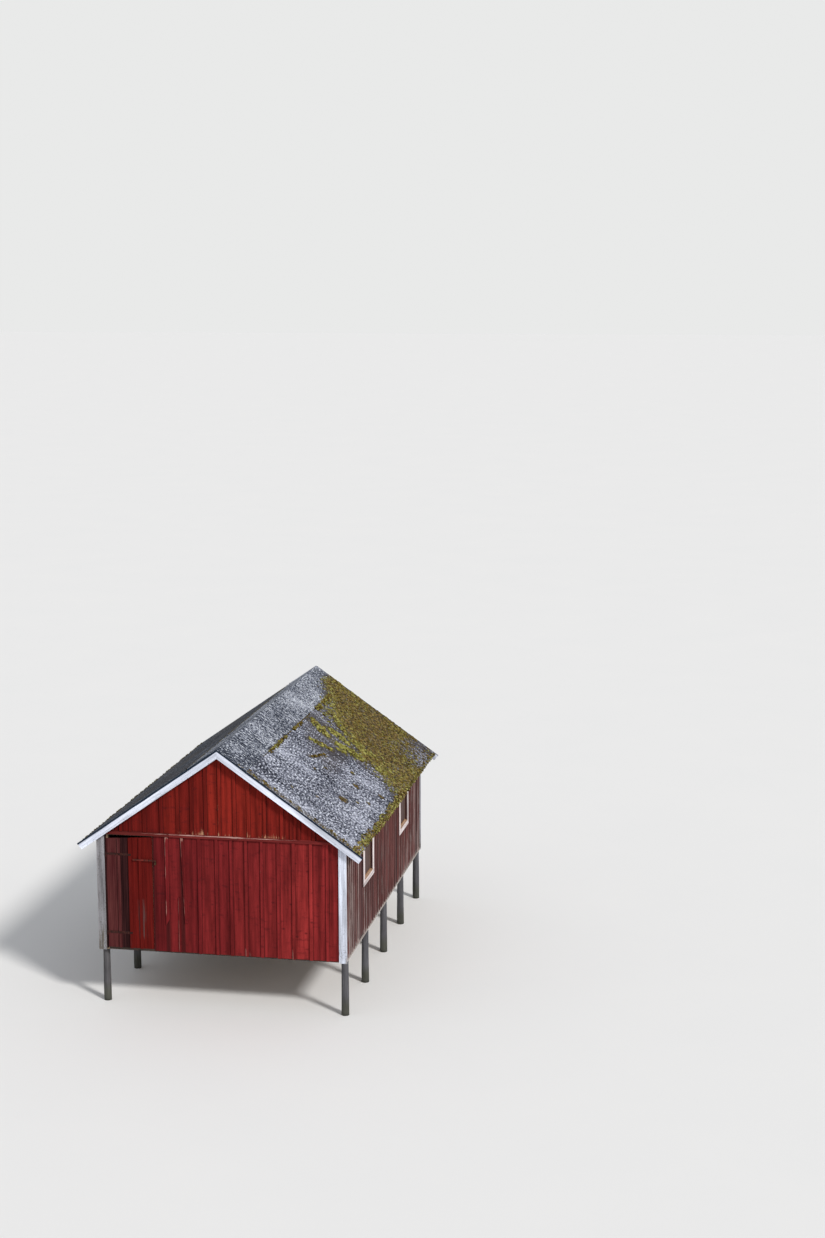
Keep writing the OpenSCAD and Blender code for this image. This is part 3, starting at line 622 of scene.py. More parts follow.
def gable_wall(mesh, joints, y, out, low, high, wear, tones=()):
    """Upright boards between the joints, cut under the roof boards."""
    draw = mesh.draw
    for i, (a, b) in enumerate(zip(joints, joints[1:])):
        mid = (a + b) / 2
        base = low + (draw(0, 0.006) if low == FOOT else 0)
        top = under_roof(mid, high)
        if max(top((b - a) / 2, 0), top((a - b) / 2, 0)) - base < 0.01:
            continue
        width, thick = b - a - draw(0.001, 0.003), BOARD - draw(0, 0.0015)
        tone = tones[i] if i < len(tones) else None
        mesh.board(point(mid, y), X, out, Z, width, thick, base, top, tone, wear)


def gable_battens(mesh, xs, y, out, low, high, wear, tones=None):
    """Nailed cover battens at the places xs."""
    draw = mesh.draw
    for i, x in enumerate(xs):
        width = BATTEN_W + draw(-0.004, 0.004)
        top = under_roof(x, high)
        if top(0, 0) - low < 0.05:
            continue
        thick = BATTEN - draw(0, 0.002)
        tone = tones[i] if tones else draw(0.1, 0.6)
        mesh.board(point(x, y), X, out, Z, width, thick, low, top, tone, wear)
        z = low + 0.08
        while z < top(0, 0) - 0.04:
            nails.nail(point(x + draw(-0.006, 0.006), y, z) + out * (BATTEN - HAIR), out)
            z += draw(0.5, 0.62)


def foot_wear(p, u, v, w):
    """Boards are worn at the foot of the wall, least on the door's side."""
    return 0.3 * smooth(FOOT + 0.3, FOOT, p.z) + 0.08 - 0.3 * smooth(-0.6, -1.1, p.x)


def high_wear(p, u, v, w):
    """Drops from the drip rail have bared the feet of the upper boards, most of all in the middle."""
    middle = smooth(-1.35, -0.25, p.x) * smooth(1.45, 0.75, p.x)
    drip = smooth(RAIL_Z1 + 0.14, RAIL_Z1 + 0.01, p.z) * (0.75 + 0.6 * wave(p.x * 9, p.y, 3))
    return 0.08 + (0.1 + 0.52 * middle) * drip


def cover_wear_and_highlight(p, u, v, w):
    """The left edge of each lower cover batten is paler here and there: rubbed wear and a painted highlight.
    """
    return foot_wear(p, u, v, w) + 0.26 * smooth(-0.012, -0.022, u) * (1 + wave(p.x * 7, p.z * 2, 8))


def middle_wear(p, u, v, w):
    """The ridge batten's left edge is flecked where the paint has lifted."""
    near = smooth(0.12, 0.0, abs(p.x)) * smooth(-0.008, -0.02, u)
    return high_wear(p, u, v, w) + 0.5 * near * smooth(4.0, 3.6, p.z)


def rail_wear(p, u, v, w):
    """The rail's upper front edge is bare, most of all in the middle of the gable."""
    edge = smooth(0.004, 0.012, u) * smooth(0.02, 0.028, v)
    middle = smooth(-1.7, -0.5, p.x) * smooth(1.6, 0.9, p.x)
    return 0.12 + 0.16 * wave(p.x * 2.3, 1, 4) + 0.1 * middle + (0.16 + 0.3 * middle) * edge


# Joints of the boards, from left to right as seen from the land side, and the boards' tones
LAND_LOW = [-0.905, -0.65, -0.353, -0.065, 0.183, 0.43, 0.692, 0.971, 1.221, 1.509, 1.784]
LAND_HIGH = [-1.82, -1.675, -1.516, -1.27, -0.985, -0.705, -0.468, -0.235, 0.0, 0.25, 0.485, 0.753,
             1.04, 1.195, 1.32, 1.56, 1.76]
FAR_HIGH = [-1.84, -1.58, -1.33, -1.07, -0.8, -0.55, -0.29, 0.0, 0.27, 0.52, 0.79, 1.03, 1.3, 1.55, 1.81]
FAR_LOW = (1.46, 1.72)
HIGH_END = 1.97
HIGH_TONES = [0.1, 0.15, 0.1, 0.2, 0.15, 0.5, 0.3, 0.4, 0.95, 0.8, 0.9, 0.75, 0.55, 0.5, 0.45, 0.3, 0.2]
LOW_TONES = [0.12, 0.28, 0.22, 0.42, 0.3, 0.5, 0.46, 0.52, 0.7, 0.95, 0.55, 0.62]
door_low, door_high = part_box("door_leaf")
boat_low, boat_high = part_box("boat_doors")

land_low = Mesh("land_gable_lower_boards", 11)
gable_wall(land_low, [door_high.x + DOOR_GAP] + LAND_LOW + [SIDE_X], FRAME_Y0, -Y, FOOT, RAIL_MID, foot_wear,
           LOW_TONES)
land_low.build(RED, "red_boards", "front_wall_right")
hinge_side = Mesh("hinge_side_board", 11)
# This board gets the lowest tone, so the door paint turns it black: painted shadow.
gable_wall(hinge_side, [-SIDE_X, door_low.x - DOOR_GAP], FRAME_Y0, -Y, FOOT, RAIL_MID, foot_wear, [0.0])
hinge_side.build(DOOR_RED, "red_boards", "front_wall_left")
land_high = Mesh("land_gable_upper_boards", 12)
gable_wall(land_high, [-HIGH_END] + LAND_HIGH + [HIGH_END], FRAME_Y0, -Y, RAIL_MID, TALL, high_wear,
           HIGH_TONES)
land_high.build(RED_HIGH, "red_boards", "front_gable")
far_low = Mesh("water_gable_lower_boards", 13)
for side in (-1, 1):
    joints = sorted(side * x for x in (boat_high.x + DOOR_GAP, *FAR_LOW, SIDE_X))
    gable_wall(far_low, joints, FRAME_Y1, Y, FOOT, RAIL_MID, foot_wear)
far_low.build(RED, "red_boards", "back_wall_left", "back_wall_right")
far_high = Mesh("water_gable_upper_boards", 14)
gable_wall(far_high, [-HIGH_END] + FAR_HIGH + [HIGH_END], FRAME_Y1, Y, RAIL_MID, TALL, high_wear)
far_high.build(RED_HIGH, "red_boards", "back_gable")

battens = Mesh("gable_cover_battens", 15)
gable_battens(battens, LAND_LOW[2:], Y0, -Y, FOOT, RAIL_Z0, cover_wear_and_highlight, LOW_TONES[2:])
for side in (-1, 1):
    gable_battens(battens, [side * x for x in FAR_LOW], Y1, Y, FOOT, RAIL_Z0, foot_wear)
upper = Mesh("gable_upper_cover_battens", 17)
gable_battens(upper, LAND_HIGH, Y0, -Y, RAIL_Z1, TALL, middle_wear, HIGH_TONES)
gable_battens(upper, FAR_HIGH, Y1, Y, RAIL_Z1, TALL, high_wear)
upper.build(HIGH_TRIM, "red_boards", "gable_battens")


def old_wear(base, rubbed, left, right, blotch=None, head=0.0, head_h=0.14):
    """Wear of an old batten: rubbed from left to right of its edge, blotched, and bare under the rail."""
    def wear(p, u, v, w):
        amount = base + rubbed * smooth(right, left, u)
        if blotch:
            amount += 0.34 * wave(p.z * blotch[0], blotch[1], 1)
        return amount + head * smooth(RAIL_Z0 - head_h, RAIL_Z0, p.z)
    return wear


# Beside the door: one batten is broken off, one leans, and a thin one stands at the foot
OLD_FOOT = FOOT + 0.5
LEAN = point(-0.038, 0, 1).normalized()
battens.board(point(-0.905, Y0), X, -Y, Z, 0.056, BATTEN, lambda u, v: OLD_FOOT + u * 1.6, RAIL_Z0, 0.2,
              old_wear(0.16, 0.4, -0.024, -0.01, (7, 0), 0.5), ragged=0.03, step=0.1)
battens.board(point(-0.59, Y0, OLD_FOOT), X, -Y, LEAN, 0.046, BATTEN, 0, RAIL_Z0 - FOOT - 0.503, 0.25,
              old_wear(0.14, 0.42, -0.022, -0.008, (8, 3), 0.55, 0.16), ragged=0.02, step=0.1)
battens.board(point(-0.705, Y0), X, -Y, Z, 0.036, BATTEN * 0.7, FOOT, FOOT + 0.95, 0.2,
              old_wear(0.14, 0.6, -0.016, -0.004), ragged=0.02, step=0.1)
battens.build(RED_TRIM, "red_boards", "gable_battens")


def rail_shape(h, t, c=0.002):
    """The drip rail's section; c is how far its edges are taken off."""
    return [(-h, 0), (-h, t - c), (-h + c, t), (-0.004, t), (0.004, t), (h / 2 - c, t), (h / 2, t - c),
            (h, 0.004), (h, 0)]


rails = Mesh("drip_rail_boards", 16)
rail_half = (RAIL_Z1 - RAIL_Z0) / 2
for y, out in GABLES:
    for a, b, tone in ((-RAIL_X, -0.86, 0.25), (-0.858, 0.31, 0.7), (0.312, RAIL_X, 0.8)):
        rails.board(point(0, y, RAIL_MID), Z, out, X, 2 * rail_half, RAIL_T, a, b, tone, rail_wear,
                    rail_shape(rail_half, RAIL_T), 0.2)
rails.build(RAIL_RED, "red_boards", "drip_rails")


# Side walls

def side_wear(p, u, v, w):
    """Bare wood at the far end, near the land gable and at the foot; red in the middle and by the eave."""
    far = smooth(0.4, 3.0, p.y)
    near = smooth(-1.7, -3.2, p.y)
    low = smooth(FOOT + 1.2, FOOT + 0.1, p.z)
    hem = 0.3 * smooth(FOOT + 0.1, FOOT + 0.03, p.z)
    return 0.2 + 0.17 * far + 0.03 * near + 0.12 * low + hem + 0.1 * wave(p.y * 1.7, p.z * 0.8, 5)


def spread(y):
    """How much one batten differs from the next: most near the land gable."""
    return 0.25 + 1.3 * smooth(-1.2, -2.6, y)


def batten_wear(bare):
    """Battens stand out in the weather and are more worn than boards, and this one by bare more."""
    def wear(p, u, v, w):
        common = side_wear(p, u, v, w) - 0.05 + 0.31 * smooth(-1.6, -2.4, p.y) + 0.05 * smooth(0.6, 1.6, p.y)
        return common + bare * spread(p.y)
    return wear


def far_wear(p, u, v, w):
    return 0.42 + 0.25 * smooth(FOOT + 0.6, FOOT, p.z)


def corner_wear(peel):
    return lambda p, u, v, w: peel + 0.3 * smooth(FOOT + 0.7, FOOT, p.z) + 0.1 * wave(p.z * 3, p.x * 9, 2)


# The boards end at BLOCK_Z, and blocks between the rafters close the wall above
BLOCK_Z, BLOCK_W = plane_z(SIDE_X, V_UNDER) - 0.004, 0.12
BLOCK_IN, BLOCK_OUT = (plane_z(x, V_RAFTER) - BLOCK_Z for x in (FRAME_X, SIDE_X))
BLOCK = [(0, 0), (BLOCK_IN, 0), (BLOCK_OUT, BOARD), (0, BOARD)]
BOARD_ENDS = [FRAME_Y0] + [y + d * WINDOW_HALF for y in WINDOW_Y for d in (-1, 1)] + [FRAME_Y1]
for side, word in SIDES:
    out = side * X
    wall = Mesh("side_boards_" + word, 20 + side)
    rng, draw = wall.rng, wall.draw
    for part, (a, b) in enumerate(zip(BOARD_ENDS, BOARD_ENDS[1:])):
        at_window = part % 2
        joints = split(a, b, 0.15, draw)
        for lo, hi in zip(joints, joints[1:]):
            tone, width = rng.random(), hi - lo - draw(0.001, 0.004)
            for z0, z1 in [(FOOT, WINDOW_Z0), (WINDOW_Z1, BLOCK_Z)] if at_window else [(FOOT, BLOCK_Z)]:
                base = z0 + (draw(0, 0.008) if z0 == FOOT else 0)
                place, thick = point(side * FRAME_X, (lo + hi) / 2), BOARD - draw(0, 0.002)
                wall.board(place, Y, out, Z, width, thick, base, z1, tone, side_wear)
    for a, b in zip(RAFTERS, RAFTERS[1:]):
        wall.board(point(side * FRAME_X, 0, BLOCK_Z), Z, out, Y, BLOCK_W, BOARD, a + NOTCH_HALF,
                   b - NOTCH_HALF, None, 0.2, BLOCK)
    wall.build(WORN_BOARD, "weathered_red", word + "_wall")

side_battens = Mesh("side_cover_battens", 24)
far_battens = Mesh("far_corner_battens", 26)
strips = Mesh("foot_strips", 28)
STRIP_ENDS = [Y0, Y0 + 2.35, Y0 + 4.6, Y1]
BATTEN_COUNT, BATTEN_TOP = 44, plane_z(HALF_W, V_UNDER) - 0.003
WINDOW_LOW, WINDOW_HIGH = WINDOW_Z0 - CASING_W - CLEAR, WINDOW_Z1 + CASING_W + CLEAR
rng, draw = side_battens.rng, side_battens.draw
for side in (-1, 1):
    for a, b in zip(STRIP_ENDS, STRIP_ENDS[1:]):
        strips.board(point(side * SIDE_X, 0, FOOT + FOOT_STRIP / 2), Z, side * X, Y, FOOT_STRIP, BATTEN,
                     a + HAIR, b - HAIR, None, 0, step=0.6)
    for i in range(BATTEN_COUNT + 1):
        last, inner = i == BATTEN_COUNT, 0 < i < BATTEN_COUNT
        y = Y0 + BATTEN_W / 2 + i * (Y1 - Y0 - BATTEN_W) / BATTEN_COUNT
        if inner:
            y += draw(-0.012, 0.012)
        width = BATTEN_W if last else rng.choice((0.036, 0.042, 0.046, 0.05))
        foot = FOOT + FOOT_STRIP + HAIR
        parts = [(foot, BATTEN_TOP)]
        if any(abs(y - wy) < WINDOW_HALF + CASING_W + width / 2 for wy in WINDOW_Y):
            parts = [(foot, WINDOW_LOW), (WINDOW_HIGH, BATTEN_TOP)]
        tone, bare = rng.random(), rng.choice((-0.14, -0.06, 0.0, 0.06, 0.12))
        if inner and rng.random() < 0.03:
            continue
        place = point(side * SIDE_X, y)
        if last:
            far_battens.board(place, Y, side * X, Z, width, BATTEN, foot, BATTEN_TOP, tone, far_wear)
            continue
        for z0, z1 in parts:
            side_battens.board(place, Y, side * X, Z, width, BATTEN - draw(0, 0.003), z0, z1, tone,
                               batten_wear(bare), ragged=0.004)
            z = z0 + 0.07
            while z < z1 - 0.03:
                nails.nail(point(side * (HALF_W - CLEAR), y, z), side * X, 0.004)
                z += draw(0.55, 0.7)
strips.build(STRIP_WOOD, "weathered_red", "side_battens")
side_battens.build(WORN_BATTEN, "weathered_red", "side_battens")
far_battens.build(OLD_WHITE, "white_paint", "side_battens")

corners = Mesh("corner_planks", 25)
shaded_old_corners = Mesh("shaded_old_corner_planks", 27)
CORNER_W = 0.13
CORNER_X = HALF_W - CORNER_W / 2
for y, out in GABLES:
    # The left corner planks get the darker old white: more peeling, and painted shade.
    for x, mesh, peel in ((-CORNER_X, shaded_old_corners, 0.42), (CORNER_X, corners, 0.26)):
        mesh.board(point(x, y), X, out, Z, CORNER_W, BATTEN, FOOT - 0.02, under_roof(x), None,
                   corner_wear(peel), step=0.2)
        for k in range(5):
            for dx in (-0.04, 0.04):
                nails.nail(point(x + dx, y, FOOT + 0.1 + 0.42 * k) + out * (BATTEN - CLEAR), out)
corners.build(WHITE, "white_paint", "corner_boards")
shaded_old_corners.build(OLD_WHITE, "white_paint", "corner_boards")

# Windows
casings = Mesh("casing_boards", 30)
backing = Mesh("window_reveals", 33)
sills = Mesh("window_sill_boards", 32)
panels = Mesh("window_panel_boards", 31)
PANEL_T, SILL_H, SILL_OUT, SILL_EDGE = 0.02, 0.036, CASING_T + 0.006, 0.004
PANEL_X = high_of("window_panels").x - PANEL_T
BACKING_T, OUTER = CASING_T - WHITE_T, WINDOW_HALF + CASING_W
SILL_SHAPE = [(0, 0), (-0.012, SILL_OUT), (-SILL_H, SILL_OUT), (-SILL_H, 0)]
WEDGE = [(0.01, -BOARD), (0.001, 0), (0, 0), (0, -BOARD)]


def sun_wear(p, u, v, w):
    return 0.26 + 0.16 * wave(p.y * 4, p.z * 4, 6)


def window(side, wy):
    """The casing, sill and boarded panel of one window."""
    out, face = side * X, point(side * SIDE_X, wy)
    front = face + out * BACKING_T
    inside = (CLEAR - WINDOW_HALF, WINDOW_HALF - CLEAR)
    for z in (WINDOW_Z0 - CASING_W / 2, WINDOW_Z1 + CASING_W / 2):
        drop = SILL_EDGE if z < WINDOW_Z0 else 0
        rise = Z * (z - drop / 2)
        backing.board(face + rise, Z, out, Y, CASING_W - 2 * CLEAR - drop, BACKING_T, CLEAR - OUTER,
                      OUTER - CLEAR, 0.3, 0.3)
        casings.board(front + rise, Z, out, Y, CASING_W - drop, WHITE_T, -OUTER, OUTER, None, sun_wear,
                      step=0.2)
    sills.board(face + Z * (WINDOW_Z0 - SILL_EDGE / 2), Z, out, Y, SILL_EDGE, CASING_T - CLEAR, *inside,
                None, 0, step=0.2)
    for d in (-1, 1):
        mid = Y * d * (WINDOW_HALF + CASING_W / 2)
        backing.board(face + mid, Y, out, Z, CASING_W - 2 * CLEAR, BACKING_T, WINDOW_Z0, WINDOW_Z1, 0.3,
                      0.3)
        casings.board(front + mid, Y, out, Z, CASING_W, WHITE_T, WINDOW_Z0, WINDOW_Z1, None, sun_wear,
                      step=0.2)
        for z in (WINDOW_Z0 - 0.05, WINDOW_Z0 + 0.1, WINDOW_Z1 - 0.1, WINDOW_Z1 + 0.05):
            nails.nail(face + mid + Z * z + out * (CASING_T - CLEAR), out)
    casings.board(face + Z * (WINDOW_Z0 + CLEAR), Z, out, Y, SILL_H, SILL_OUT, *inside, None, sun_wear,
                  SILL_SHAPE, 0.2)
    sills.board(face + Z * WINDOW_Z0, Z, out, Y, 0.012, BOARD, *inside, None, 0, WEDGE, 0.2)
    joints = split(-WINDOW_HALF + CLEAR, WINDOW_HALF - CLEAR, 0.134, panels.draw)
    for a, b in zip(joints, joints[1:]):
        panels.board(point(side * PANEL_X, wy + (a + b) / 2), Y, out, Z, b - a - 0.003,
                     PANEL_T - panels.draw(0, 0.003), WINDOW_Z0 + CLEAR, WINDOW_Z1 - CLEAR)


for side in (-1, 1):
    for wy in WINDOW_Y:
        window(side, wy)
casings.build(CASING, "white_paint", "window_casings")
backing.build(WORN_BOARD, "white_paint", "window_casings")
sills.build(SILL, "white_paint", "window_casings")
panels.build(PANEL, "panel_boards", "window_panels")


# Bargeboards and roof boards

def barge_wear(peel):
    return lambda p, u, v, w: peel + 0.14 * smooth(0.02, 0.06, u) + 0.1 * wave(w * 2, u * 9, 7)


BARGE_W = 0.12
BARGE_MID = V_BOARD + BARGE_W / 2
for y, out, word in ((ROOF_Y0 + FELT + BOARD, -Y, "front"), (ROOF_Y1 - FELT - BOARD, Y, "back")):
    barge = Mesh("barge_planks_" + word, 40 + len(word))
    for side, peel in ((-1, 0.3), (1, 0.16)):
        along, down = point(side * COS, 0, -SIN), point(-side * SIN, 0, -COS)
        barge.board(point(0, y, RIDGE) + down * BARGE_MID, down, out, along, BARGE_W, BOARD,
                    lambda u, v: (BARGE_MID + u) * TAN + 0.0002, U_TIP - FELT - 0.0015, None,
                    barge_wear(peel), step=0.3, play=0.6)
        for k in range(6):
            for du in (-0.02, 0.035):
                nails.nail(on_slope(0.18 + 0.52 * k, BARGE_MID + du, y, side) + out * (BOARD - 0.0012), out)
    barge.build(WHITE, "white_paint", "bargeboards_" + word)

ROOF_BOARDS = 23
for side, word in SIDES:
    planks = Mesh("roof_planks_" + word, 44 + side)
    down, up = point(side * COS, 0, -SIN), point(side * SIN, 0, COS)
    for k in range(ROOF_BOARDS):
        a, b = ((k + d) * (U_EAVE - FELT - 0.0003) / ROOF_BOARDS for d in (0, 1))
        start = 0.019 if k == 0 else 0
        width, middle = b - a - start - 0.003, on_slope((a + b + start) / 2, V_BOARD + BOARD, 0, side)
        planks.board(middle, down, up, Y, width, BOARD, ROOF_Y0 + FELT + BOARD + HAIR,
                     ROOF_Y1 - FELT - BOARD - HAIR, step=1.2, play=0.5)
    planks.build(ROOF_WOOD, "bare_timber", "roof_boards_" + word)

# Moss on the right slope. Places are (distance down the slope, distance from the land gable), so
# MOSS_EDGE is where the field at the far end begins. CLUMPS are u0, u1, their two distances from
# the gable, half width and tone. JOINT_MOSS grows under the ridge strip from one distance to
# another, EAVE_MOSS is middle, half length and tone, and SPOTS have a radius.
MOSS_EDGE = [(0.0, 6.75), (0.3, 6.45), (0.71, 5.45), (1.04, 4.8), (1.45, 4.35), (1.82, 4.02), (2.38, 3.97),
             (2.83, 3.47), (3.0, 3.3)]
CLUMPS = [(0.7, 1.14, 4.08, 3.84, 0.15, 1.0), (1.06, 1.5, 4.24, 4.16, 0.13, 1.0),
          (0.98, 1.36, 4.98, 4.56, 0.1, 1.0), (0.94, 1.34, 3.14, 3.33, 0.08, 0.9),
          (1.33, 1.86, 3.8, 3.92, 0.15, 1.0), (1.76, 2.02, 4.36, 4.48, 0.11, 1.0),
          (1.5, 1.71, 4.46, 4.48, 0.08, 1.0), (2.16, 2.4, 3.99, 4.09, 0.1, 1.0),
          (1.18, 1.32, 2.4, 2.9, 0.07, 0.3), (1.4, 1.57, 3.58, 3.66, 0.06, 0.9)]
JOINT_MOSS = [(1.33, 2.52), (3.0, 3.61), (4.72, 5.12), (5.24, 5.96)]
EAVE_MOSS = [(0.02, 0.16, 0.93), (0.34, 0.12, 0.84), (0.72, 0.2, 0.76), (1.1, 0.1, 0.1), (1.52, 0.24, 0.68),
             (2.02, 0.24, 0.72), (2.36, 0.08, 0.15), (2.76, 0.34, 0.7), (3.3, 0.22, 0.55), (3.7, 0.2, 0.3)]
SPOTS = [(2.07, 1.59, 0.1), (2.1, 2.55, 0.07), (0.62, 0.06, 0.035), (0.75, -0.02, 0.04), (0.95, 0.02, 0.06),
         (1.15, 0.03, 0.05), (1.45, 0.0, 0.04), (1.62, 0.02, 0.035), (1.95, 0.03, 0.035), (2.25, 0.04, 0.04),
         (2.34, 0.0, 0.04), (2.52, 0.03, 0.05), (1.72, 0.95, 0.035), (1.3, 0.6, 0.03), (2.45, 2.2, 0.04),
         (2.3, 1.9, 0.03), (1.5, 2.35, 0.04), (2.55, 2.9, 0.06), (1.9, 3.0, 0.05), (1.35, 2.0, 0.03)]
VERGE_MOSS = (0.45, 0.62, 0.78, 0.98, 1.04, 1.3, 1.62, 1.95, 2.1, 2.34, 2.5, 2.62, 2.78)


def moss_edge(u):
    for (a, p), (b, q) in zip(MOSS_EDGE, MOSS_EDGE[1:]):
        if u <= b:
            return p + (q - p) * (u - a) / (b - a)
    return MOSS_EDGE[-1][1]


def moss_field(u, along):
    """How much of the right slope moss covers, 0 to 1; along is the distance from the land gable."""
    ragged = 0.36 * rough(u * 1.1, along * 1.5, 2) + 0.22 * rough(u * 4, along * 4, 5)
    blur = smooth(1.7, 1.0, u)
    cover = smooth(-0.42 - 0.4 * blur, 0.34 + 0.16 * blur, along - moss_edge(u) + ragged)
    corner = smooth(1.9, 2.75, u + 0.4 * ragged) * smooth(5.0, 6.2, along + 0.4 * ragged)
    cover *= 1 - 0.72 * corner
    verge = smooth(6.75, 7.05, along + 0.4 * ragged) * smooth(1.1, 2.0, u)
    cover *= 1 - 0.35 * verge
    cover *= smooth(0.1, 0.4, u + 0.3 * ragged)
    return clamp(cover * (0.84 + 0.34 * rough(u * 6, along * 6, 9)), 0.0, 1.0)


def stain(u, along):
    """Moss stain on the felt, also a little round the lumps."""
    before = moss_edge(u) - along
    joint = smooth(2.74, 2.87, u + 0.1 * rough(along * 3, 1))
    found = [0.8 * moss_field(u, along),
             0.3 * smooth(0.9, 0.0, before) * smooth(0.3, 0.5, u),
             0.25 * smooth(2.7, 1.5, before) * smooth(0.55, 0.65, u) * smooth(2.0, 1.5, u),
             0.6 * joint * smooth(0.1, 0.7, along) * smooth(4.6, 3.6, along),
             0.2 * smooth(2.3, 2.8, u) * smooth(6.0, 3.0, along) * (0.5 + rough(u * 2, along * 2, 4)),
             0.42 * smooth(0.12, 0.0, along)]
    for u1, y1, r in SPOTS:
        found.append(0.66 * smooth(r * 1.3, r * 0.5, math.hypot(u - u1, along - y1)))
    for u0, u1, y0, y1, half, _ in CLUMPS:
        f = clamp((u - u0) / (u1 - u0))
        d = math.hypot(max(u0 - u, 0, u - u1), along - y0 - (y1 - y0) * f)
        found.append(0.47 * smooth(half * 1.7, half * 0.8, d))
    return max(found) - 0.6 * smooth(0.17, 0.1, abs(along - 0.16)) * smooth(0.75, 0.45, u)


def left_stain(u, along):
    return 0.14 + 0.3 * rough(u * 1.3, along * 1.3, 21) + 0.2 * smooth(2.5, 2.85, u)


# Felt

# The verges' strips, the fold at the eave, and how far inside the roof's ends the sheet begins
VERGE_W, VERGE_STEPS, LIP, SHEET_IN = 0.0275, 60, 0.026, 0.027
TOP_US = [k * 0.05 for k in range(57)] + [U_EAVE - 0.012, U_EAVE - 0.004]


def felt_top(felt, side, stained):
    """A slope's felt with slight waves, its fold at the eave and its plain underside."""
    ys, y = [], ROOF_Y0 + SHEET_IN
    while y < ROOF_Y1 - 0.03:
        ys.append(y)
        y += 0.06
    rows = []
    for y in ys + [ROOF_Y1 - SHEET_IN]:
        row, droop = [], LIP + 0.004 * wave(y * 2.1, 3, 3)
        for u in TOP_US:
            dent = 0.0011 * (1 + wave(u * 3, y * 2.5, 8 * side)) + 0.0006 * (1 + wave(u * 11, y * 9, 2))
            row.append(felt.vertex(on_slope(u, dent, y, side), (y, 0, u), 0.0, stained(u, y - Y0)))
        # The fold at the eave and the underside get a high tone: painted shade.
        for u, v, dark in ((U_EAVE - HAIR, 0.003, 0.3), (U_EAVE, 0.01, 0.9), (U_EAVE, droop, 1),
                           (U_EAVE - FELT, droop, 1), (U_EAVE - FELT, FELT, 1), (U_EAVE * 0.5, FELT, 1),
                           (0, FELT, 1)):
            row.append(felt.vertex(on_slope(u, v, y, side), (y, v, u), dark, 0.0))
        rows.append(row if side < 0 else row[::-1])
    felt.tube(rows)


def felt_verge(felt, side, stained, edge, way):
    """A strip over a bargeboard, folded down at its edge and nailed; way leads from the edge inwards."""
    rows = []
    for k in range(VERGE_STEPS + 1):
        u = k * (U_TIP - 0.0008) / VERGE_STEPS
        droop = 0.03 + 0.004 * wave(u * 2.7, edge, 5 * side) - 0.002
        row = []
        bulge = HAIR + 0.001 * (1 + wave(u * 6, edge, 1))
        # The fold down the bargeboard and the underside get a high tone: painted shade.
        for d, v, dark in ((VERGE_W, FELT, 1), (VERGE_W, -0.0008, 0.1), (0.003, -0.0008, 0.5),
                           (HAIR, 0.0015, 0.9), (bulge, droop, 1), (FELT, droop, 1), (FELT, FELT, 1)):
            y = edge + way * d
            moss = 0.5 * stained(u, edge - Y0) if dark < 0.6 else 0
            row.append(felt.vertex(on_slope(u, v, y, side), (y, v, u), dark, moss))
        rows.append(row if way * side > 0 else row[::-1])
    felt.tube(rows)
    u = 0.08
    while u < U_TIP - 0.03:
        nails.nail(on_slope(u, 0.017, edge + way * 0.0012, side), -way * Y, 0.005, 0.0008)
        u += 0.11 + 0.02 * wave(u * 5, 2, 2)


for side, word, stained, material in ((1, "right", stain, FELT_MAT), (-1, "left", left_stain, SHADE_FELT)):
    felt = Mesh("felt_sheet_" + word, 50 + side)
    felt_top(felt, side, stained)
    felt_verge(felt, side, stained, ROOF_Y0, 1)
    felt_verge(felt, side, stained, ROOF_Y1, -1)
    felt.build(material, "roof_felt", "roof_felt_" + word)

strip = Mesh("ridge_strip", 55)
STRIP_US = [0.48, 0.4, 0.32, 0.24, 0.16, 0.09, 0.05, 0.028]


def strip_stain(u, along, side):
    """Moss on the strip: the field's, and along its lower edge over the moss in the joint."""
    if side < 0:
        return left_stain(u, along) - 0.2
    over_joint = any(a < along < b for a, b in JOINT_MOSS)
    return 0.9 * moss_field(u, along) + 0.45 * smooth(0.57, 0.6, u) * over_joint


def strip_half(y, side):
    """The strip's vertices on one slope at y: its underside at the edge, then its face up to the ridge."""
    lift = 0.0012 + 0.0022 * (1 + wave(y * 1.9, side, 4))
    edge = STRIP_U - 0.004 + 0.003 * wave(y * 2.3, side * 5, 1)
    half = []
    for n, u in enumerate([edge, edge - 0.004, edge - 0.05] + STRIP_US):
        dent = 0.0006 * (1 + wave(u * 5, y * 3, 6 * side)) if u < 0.5 else -lift * smooth(0.5, 0.6, u)
        place = on_slope(u, -STRIP_TOP + dent, y, side)
        # The strip's lower edge has a high tone and its underside the full one: painted shade.
        half.append(strip.vertex(place, (y, 0, side * u), 0.0 if n else 0.85, strip_stain(u, y - Y0, side)))
    return [strip.vertex(on_slope(edge, -0.0004 - lift, y, side), (y, 0, side * edge), 1.0, 0)] + half


rows, y = [], ROOF_Y0 + HAIR
while True:
    left = strip_half(y, -1)
    ridge = strip.vertex(point(0, y, RIDGE + 0.0019), (y, 0, 0), 0, 0)
    right = strip_half(y, 1)
    under = strip.vertex(point(0, y, RIDGE + 0.0003), (y, 0, 0), 1.0, 0)
    rows.append(left + [ridge] + right[::-1] + [under])
    if y >= ROOF_Y1 - 0.0006:
        break
    y = min(y + 0.07, ROOF_Y1 - HAIR)
strip.tube(rows)
strip.build(STRIP_MAT, "roof_felt", "ridge_felt")


# Moss

def moss_base(u):
    """How far below the felt's face moss starts: the ridge strip raises it."""
    return -STRIP_TOP if u < STRIP_U else 0.0


